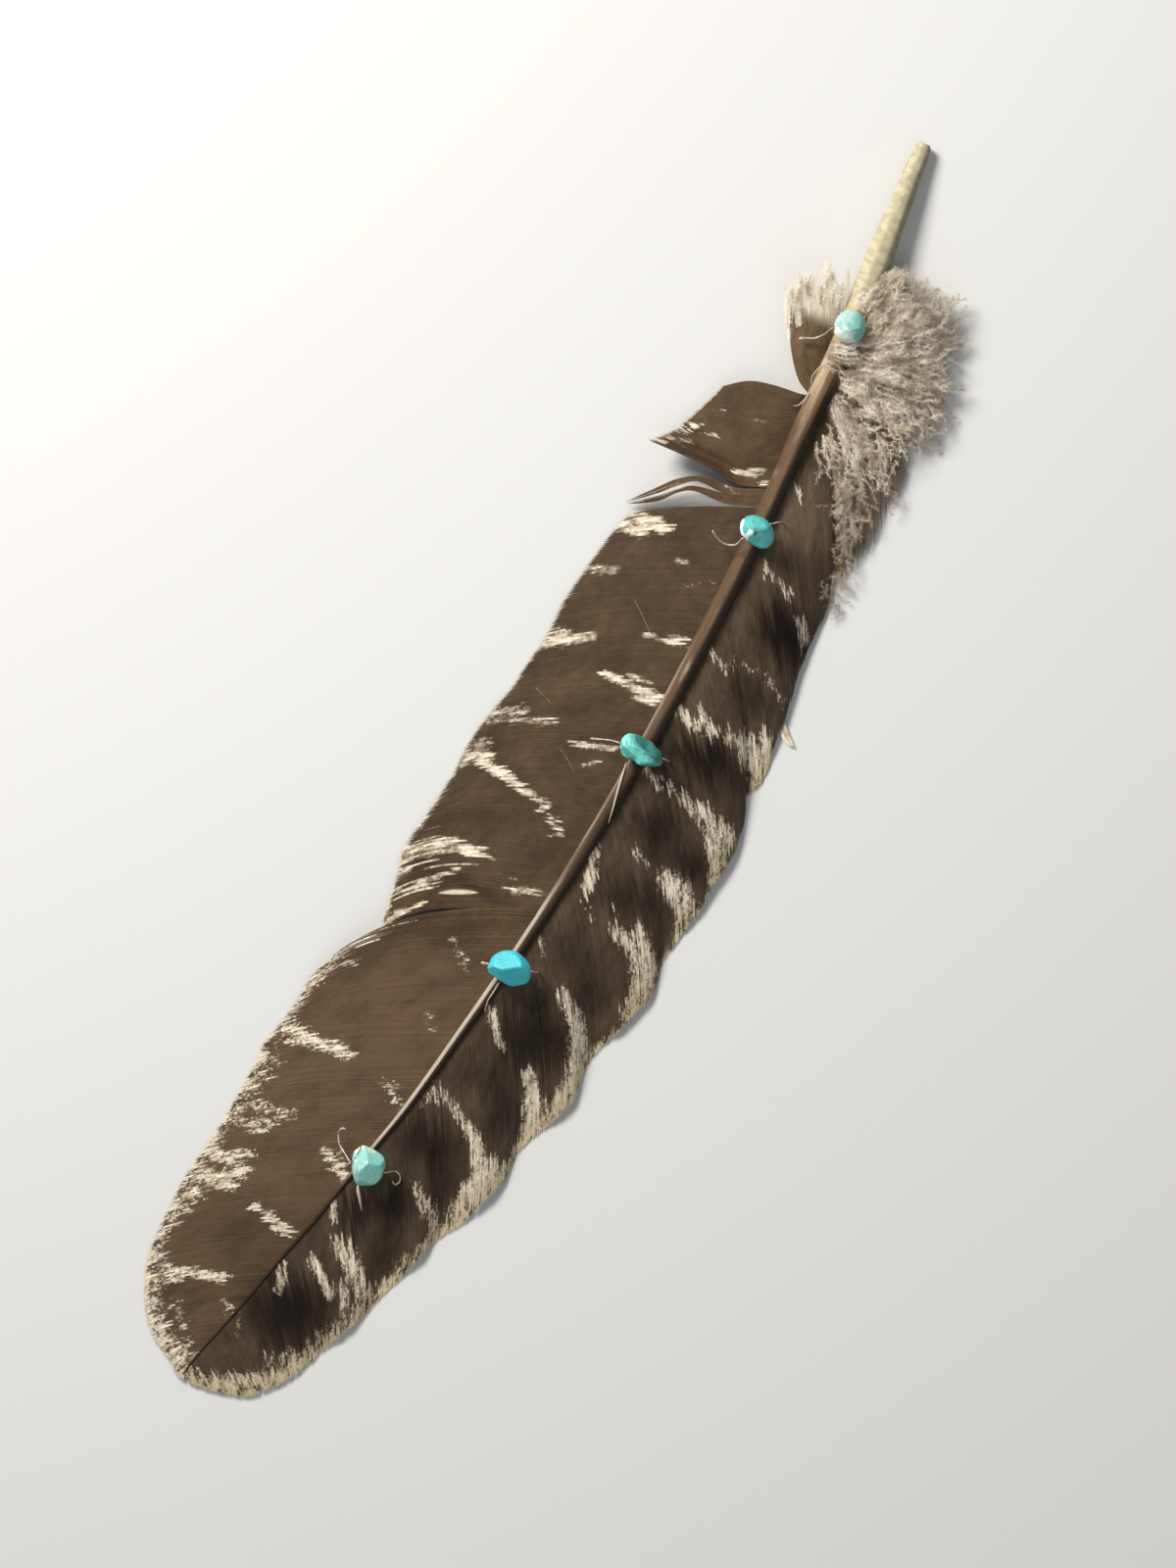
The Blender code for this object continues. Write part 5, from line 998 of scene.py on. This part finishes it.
def nugget_radius(n, directions):
    """Distance from a nugget's middle to its surface: flats that meet at worn edges."""
    d = np.atleast_2d(directions)
    centre = np.array(n["at"])
    outline = np.array(n["outline"]) - centre
    planes = []
    for p, q in zip(outline, np.roll(outline, -1, axis=0)):
        e = q - p
        normal = np.array([e[1], -e[0]]) / np.linalg.norm(e)
        if normal @ p < 0:
            normal = -normal
        far = normal @ p
        for rise in (24.0, -24.0):
            r = math.radians(rise)
            planes.append((normal[0] * math.cos(r), normal[1] * math.cos(r), math.sin(r), far * math.cos(r)))
    for plan, rise, far in n["tops"] + n["lows"] + ((0, 90, n["high"]), (0, -90, n["high"])):
        p, r = math.radians(plan), math.radians(rise)
        planes.append((math.cos(p) * math.cos(r), math.sin(p) * math.cos(r), math.sin(r), far))
    planes = np.array(planes)
    toward = np.maximum(d @ planes[:, :3].T / planes[:, 3], 0)
    return (toward**30).sum(1) ** (-1 / 30)


def mouths(n):
    centre, a = nugget_centre(n), math.radians(n["bore"])
    way = np.array([math.cos(a), math.sin(a), 0.0])
    return centre - way * nugget_radius(n, -way)[0], centre + way * nugget_radius(n, way)[0], way


def vane_height(x, y):
    sx, width, depth, height = shaft_at(y)[0]
    return height - 0.08 * depth - 0.27 * max(0.0, abs(x - sx) - width / 2)


def wire_route(n):
    left, right, way = mouths(n)
    centre = nugget_centre(n)
    points = [np.array([x, y, centre[2] + dz]) for x, y, dz in reversed(n["tail"])]
    points += [left - 0.5 * way, left + 0.8 * way, right - 0.8 * way, right + 0.25 * way]
    dive = n["dive"]
    for x, y in dive[:-1]:
        points.append(np.array([x, y, vane_height(x, y) + 1.5]))
    x, y = dive[-1]
    low = vane_height(x, y)
    points.append(np.array([x - 0.15, y, (centre[2] + low) / 2 + 0.6]) if len(dive) == 1 else np.array([x, y, low + 1.0]))
    points += [np.array([x, y, low]), np.array([x - 0.1, y, low - 1.3])]
    cross = n["at"][1] + n["under"]
    sx, width, depth, height = shaft_at((y + cross) / 2)[0]
    points.append(np.array([sx, (y + cross) / 2, height - depth / 2 - 0.75]))
    sx, width, depth, height = shaft_at(cross)[0]
    out = sx - width / 2 - 1.35
    low = vane_height(out, cross)
    points += [np.array([out + 0.15, cross, low - 1.2]), np.array([out, cross, low + 0.1]), np.array([out + 0.5, cross, height + depth / 2 - 0.1]),
               np.array([sx - width / 4, cross, height + depth / 2 + 0.42]), np.array([sx + width / 4, cross, height + depth / 2 + 0.42]),
               np.array([sx + width / 2 + 0.5, cross, height + depth / 2 - 0.1])]
    return points


def stone_material(name, base, deep, pale, vein=(0.16, 0.095, 0.05), blotch=0.5):
    m = Nodes(name)
    where = m.node("ShaderNodeNewGeometry").outputs["Position"]
    paleness, vein_at, shade = m.attribute("pale"), m.attribute("vein"), m.attribute("shade")
    cloud, grain, fine = m.noise(where, 620.0, 4.0, 0.62, 0.6), m.noise(where, 1500.0, 3.0, 0.6), m.noise(where, 5200.0, 2.0, 0.5)
    colour = m.mix(m.span(cloud, 0.3, 0.6, 0.45, 1.0), deep, base)
    # the 'shade' spots take the deep colour: painted shade on facets turned away from the light, and in places the
    # stone's own darker patches
    colour = m.mix(m.math("MULTIPLY", shade, 0.9, clamp=True), colour, deep)
    edge = m.math("ADD", paleness, m.math("MULTIPLY", m.math("SUBTRACT", grain, 0.5), 1.1))
    edge = m.math("ADD", edge, m.math("MULTIPLY", m.math("SUBTRACT", cloud, 0.5), blotch))
    colour = m.mix(m.span(edge, 0.42, 0.72), colour, pale)
    line = m.math("ADD", vein_at, m.math("MULTIPLY", m.math("SUBTRACT", fine, 0.5), 0.5))
    colour = m.mix(m.math("MULTIPLY", m.span(line, 0.45, 0.75), 0.85), colour, vein)
    colour = m.scaled(colour, m.math("ADD", 0.76, m.math("ADD", m.math("MULTIPLY", grain, 0.30), m.math("MULTIPLY", fine, 0.18))))
    m.bump(m.math("ADD", grain, m.math("MULTIPLY", fine, 0.45)), 0.0003, 0.42)
    return m.finish(colour, m.span(grain, 0.3, 0.7, 0.34, 0.52), Specular_IOR_Level=0.5, Coat_Weight=0.08, Coat_Roughness=0.3)


def make_nugget(number, n, material, pale=(), veins=(), shades=(), dents=()):
    bm = bmesh.new()
    bmesh.ops.create_icosphere(bm, subdivisions=6, radius=1.0)
    d = np.array([v.co for v in bm.verts])
    faces = [[v.index for v in f.verts] for f in bm.faces]
    bm.free()
    d = unit(d)
    centre = nugget_centre(n)
    r = nugget_radius(n, d)
    seed = 80 + number
    r = r * (1 + 0.012 * noise2(d[:, 0] * 3 + d[:, 2] * 2, d[:, 1] * 3 - d[:, 2], seed, 3) + 0.004 * noise2(d[:, 0] * 14 + d[:, 2] * 9, d[:, 1] * 14 - d[:, 2] * 7, seed + 9, 2))
    for x, y, wide, deep in dents:
        p = d * r[:, None] + centre
        near = np.exp(-((p[:, 0] - x) ** 2 + (p[:, 1] - y) ** 2) / wide**2) * (d[:, 2] > -0.3)
        r = r - deep * near
    left, right, way = mouths(n)
    for mouth in (left, right):
        p = d * r[:, None] + centre
        off = np.linalg.norm(np.cross(p - centre, way), axis=1)
        same = ((p - centre) @ way) * ((mouth - centre) @ way) > 0
        r = r - 1.0 * (1 - ease(off, 0.22, 0.62)) * same
    p = d * r[:, None] + centre
    top = ease(d[:, 2], -0.5, 0.15)

    def spots(list_):
        out = np.zeros(len(p))
        for x0, y0, x1, y1, half, strength in list_:
            a, b = np.array([x0, y0]), np.array([x1, y1])
            run = b - a
            s = np.clip(((p[:, :2] - a) @ run) / max(run @ run, 1e-9), 0, 1)
            away = np.linalg.norm(p[:, :2] - a - s[:, None] * run, axis=1)
            out = np.maximum(out, strength * (1 - ease(away, 0.3 * half, 1.6 * half)))
        return out * top

    low = 0.5 * (noise2(d[:, 0] * 2 + 5, d[:, 1] * 2 + d[:, 2] * 2, seed + 20) + 0.4) * (1 - top)
    attributes = {"pale": spots(pale) + low, "vein": spots(veins), "shade": spots(shades)}
    return new_piece(f"nugget_{number}", p, faces, material, replaces=f"turquoise_nugget_{number}", attributes=attributes)


def make_stones():
    one = stone_material("turquoise_pale", (0.43, 0.665, 0.59), (0.13, 0.36, 0.335), (0.68, 0.77, 0.66), blotch=1.0)
    two = stone_material("turquoise_blue", (0.10, 0.51, 0.50), (0.03, 0.25, 0.245), (0.72, 0.88, 0.84), blotch=0.9)
    three = stone_material("turquoise_green", (0.215, 0.80, 0.70), (0.022, 0.165, 0.135), (0.62, 0.86, 0.76), blotch=0.3)
    four = stone_material("turquoise_bright", (0.055, 0.54, 0.62), (0.035, 0.36, 0.42), (0.55, 0.90, 0.90), blotch=0.3)
    five = stone_material("turquoise_cream", (0.255, 0.60, 0.54), (0.13, 0.42, 0.38), (0.66, 0.70, 0.55), blotch=1.0)
    make_nugget(1, NUGGETS[0], one, pale=((2.4, 106.6, 6.4, 105.9, 1.0, 0.95), (4.2, 107.9, 6.2, 107.3, 0.7, 0.6)), shades=((5.6, 110.8, 7.2, 108.4, 1.5, 1.0), (4.4, 109.0, 5.4, 108.2, 0.6, 0.7)))
    make_nugget(2, NUGGETS[1], two, pale=((3.6, 62.2, 4.2, 60.2, 0.6, 0.95), (6.4, 60.8, 6.1, 59.4, 0.6, 0.9), (4.6, 59.9, 6.2, 59.0, 0.5, 0.9)), veins=((7.0, 61.8, 7.6, 60.6, 0.28, 0.9), (7.6, 60.6, 8.4, 60.9, 0.22, 0.8), (5.4, 63.2, 6.6, 62.6, 0.2, 0.6)),
                shades=((7.4, 61.8, 8.2, 60.4, 0.9, 0.9), (9.6, 62.6, 11.0, 61.2, 1.6, 0.6)), dents=((7.7, 61.0, 0.55, 0.35), (6.2, 60.4, 0.5, -0.18)))
    make_nugget(3, NUGGETS[2], three, pale=((3.3, 10.8, 3.4, 8.6, 0.6, 0.5), (6.4, 9.4, 9.6, 9.6, 0.4, 0.35)), veins=((4.0, 9.9, 4.6, 9.4, 0.3, 0.7),), shades=((6.8, 12.2, 12.0, 10.6, 1.9, 1.5), (9.6, 7.0, 11.6, 7.6, 0.9, 0.7), (4.6, 8.0, 7.0, 7.4, 0.7, 0.5)),
                dents=((7.1, 6.5, 0.7, 0.75), (4.2, 9.7, 0.45, 0.3), (8.9, 11.3, 1.7, 0.75)))
    make_nugget(4, NUGGETS[3], four, pale=((0.4, -45.6, 1.4, -46.2, 0.5, 0.5), (0.1, -45.1, 0.3, -44.6, 0.3, 0.9)), shades=((4.6, -45.2, 9.0, -43.6, 1.9, 0.55),))
    make_nugget(5, NUGGETS[4], five, pale=((-5.9, -92.2, -5.6, -91.2, 0.7, 1.3), (-5.0, -93.4, -3.6, -97.0, 0.5, 0.62), (-4.8, -90.8, -2.4, -90.9, 0.6, 0.7), (-3.6, -92.6, -2.4, -93.6, 0.5, 0.42)),
                veins=((-5.2, -90.9, -4.9, -92.4, 0.22, 0.95), (-4.9, -92.4, -5.1, -94.0, 0.2, 0.9), (-4.9, -92.4, -4.2, -92.9, 0.16, 0.6)))


def make_wires():
    m = Nodes("tie_wire")
    where = m.node("ShaderNodeNewGeometry").outputs["Position"]
    dull = m.noise(where, 900.0, 3.0, 0.6)
    metal = m.finish(m.mix(m.span(dull, 0.35, 0.7), (0.36, 0.29, 0.235), (0.66, 0.57, 0.48)), m.span(dull, 0.3, 0.7, 0.42, 0.58), Metallic=0.55)
    for k, n in enumerate(NUGGETS, 1):
        line = spread(wire_route(n), 240)
        radius = np.full(240, WIRE_D / 2)
        ball = {1: 0.42, 4: 0.34}.get(k, 0.26)
        radius[:9] = np.sqrt(np.maximum(ball**2 - (np.linspace(-1, 1, 9) * ball * 0.98) ** 2, 0.0004)) * 1.0
        radius[6:9] = np.maximum(radius[6:9], WIRE_D / 2)
        radius[0] = 0.03
        piece = tube(f"wire_{k}", line, radius, metal, replaces=f"tie_wire_{k}")


def make_slivers():
    """Barbs and shavings that have lifted away."""
    m = Nodes("sliver")
    fibre = m.noise(m.node("ShaderNodeNewGeometry").outputs["Position"], 1400.0, 3.0)
    pale = m.finish(m.mix(fibre, (0.36, 0.27, 0.19), (0.66, 0.56, 0.44)), 0.5)
    def strip(name, points, widths, lift=0.0):
        line = spread(points, 36)
        radius = np.interp(np.linspace(0, 1, 36), np.linspace(0, 1, len(widths)), widths)
        tube(name, line, radius, pale, sides=8)
    top = lambda x, y: shaft_at(y)[0][3] + shaft_at(y)[0][2] / 2 * max(0.1, 1 - ((x - shaft_at(y)[0][0]) / (shaft_at(y)[0][1] / 2)) ** 2) ** 0.5
    strip("sliver_shaft", [(6.1, 6.0, top(6.5, 6) + 0.1), (6.6, 3.5, top(6.8, 3) + 0.30), (7.3, 0.0, top(7.3, 0) + 0.28), (8.1, -3.5, top(8.0, -3.5) + 0.2), (8.8, -7.0, top(8.4, -7) + 0.05)], (0.10, 0.28, 0.26, 0.18, 0.05))
    strip("sliver_curl", [(3.6, 92.6, 8.2), (3.4, 91.2, 8.6), (3.0, 89.8, 8.6), (2.5, 89.0, 8.3), (1.8, 88.7, 7.8)], (0.16, 0.16, 0.14, 0.12, 0.05))
    strip("sliver_tail", [(4.3, -47.2, 11.0), (4.15, -49.5, 10.4), (4.0, -51.5, 9.9), (4.2, -53.0, 9.5), (4.5, -54.0, 9.2)], (0.18, 0.17, 0.14, 0.10, 0.05))
    strip("sliver_barb_1", [(-1.9, -98.8, 7.5), (-1.3, -99.8, 7.6), (-0.5, -100.8, 7.4), (0.4, -102.0, 7.0), (1.3, -103.2, 6.4)], (0.22, 0.36, 0.30, 0.18, 0.04))
    strip("sliver_quill", [(3.2, 99.6, 8.2), (2.7, 97.6, 8.2), (2.5, 96.0, 8.0), (2.9, 94.4, 7.9)], (0.05, 0.13, 0.12, 0.05))


def make_hairs():
    m = Nodes("hair")
    pale = m.finish(m.mix(m.noise(m.node("ShaderNodeNewGeometry").outputs["Position"], 900.0, 2.0), (0.20, 0.15, 0.10), (0.42, 0.34, 0.25)), 0.6, Specular_IOR_Level=0.2)
    for k, (x0, y0, x1, y1) in enumerate(((-7.3, 2.0, -2.6, -0.7), (-8.3, 36.9, -1.6, 32.1), (-18.0, 11.0, -12.0, 9.0)), 1):
        line = [(x, y, on_vane(x, y) + 0.07) for x, y in zip(np.linspace(x0, x1, 9), np.linspace(y0, y1, 9) + 0.12 * np.sin(np.linspace(0, 5, 9)))]
        tube(f"hair_{k}", spread(line, 30), 0.055, pale, sides=6)


make_lobes()
make_shaft()
make_hairs()
make_down()
make_stones()
make_wires()
make_slivers()


# ---------------------------------------------------------------- stage, light, camera

def plain(name, colour, roughness):
    material = bpy.data.materials.new(name)
    material.use_nodes = True
    shader = material.node_tree.nodes["Principled BSDF"]
    shader.inputs["Base Color"].default_value = (*colour, 1)
    shader.inputs["Roughness"].default_value = roughness
    return material


def make_stage():
    mesh = bpy.data.meshes.new("floor")
    mesh.from_pydata([(-3, -3, -0.0001), (3, -3, -0.0001), (3, 3, -0.0001), (-3, 3, -0.0001)], [], [(0, 1, 2, 3)])
    floor = bpy.data.objects.new("floor", mesh)
    bpy.context.scene.collection.objects.link(floor)
    mesh.materials.append(plain("floor", (0.66, 0.655, 0.64), 0.9))

    world = bpy.data.worlds.new("studio")
    bpy.context.scene.world = world
    world.use_nodes = True
    world.node_tree.nodes["Background"].inputs[0].default_value = (0.93, 0.96, 1.0, 1)
    world.node_tree.nodes["Background"].inputs[1].default_value = 0.29

    def lamp(name, at, size, power, colour):
        light = bpy.data.lights.new(name, "AREA")
        light.shape, light.size, light.energy, light.color = "DISK", size, power, colour
        obj = bpy.data.objects.new(name, light)
        bpy.context.scene.collection.objects.link(obj)
        obj.location = at
        obj.rotation_euler = (Vector((0, 0, 0)) - Vector(at)).to_track_quat("-Z", "Y").to_euler()

    lamp("key", (-0.62, 0.30, 0.62), 0.36, 11.6, (1.0, 0.97, 0.92))
    lamp("fill", (0.55, -0.35, 0.9), 0.9, 1.6, (0.93, 0.96, 1.0))


def make_camera():
    look = Vector(((1.15 - ORIGIN[0]) * MM, (-1.70 - ORIGIN[1]) * MM, 0.003))
    up, right = Vector((-0.4702, 0.8825, 0.0)).normalized(), Vector((0.8825, 0.4702, 0.0)).normalized()
    data = bpy.data.cameras.new("camera")
    data.sensor_fit, data.sensor_height, data.sensor_width, data.lens = "VERTICAL", 36, 36, 240
    data.clip_start, data.clip_end = 0.01, 20
    camera = bpy.data.objects.new("camera", data)
    bpy.context.scene.collection.objects.link(camera)
    turn = Matrix((right, up, Vector((0, 0, 1)))).transposed()
    camera.matrix_world = Matrix.Translation(look + Vector((0, 0, 2.2000))) @ turn.to_4x4()
    bpy.context.scene.camera = camera


make_stage()
make_camera()
bpy.context.scene.view_settings.view_transform = "Standard"
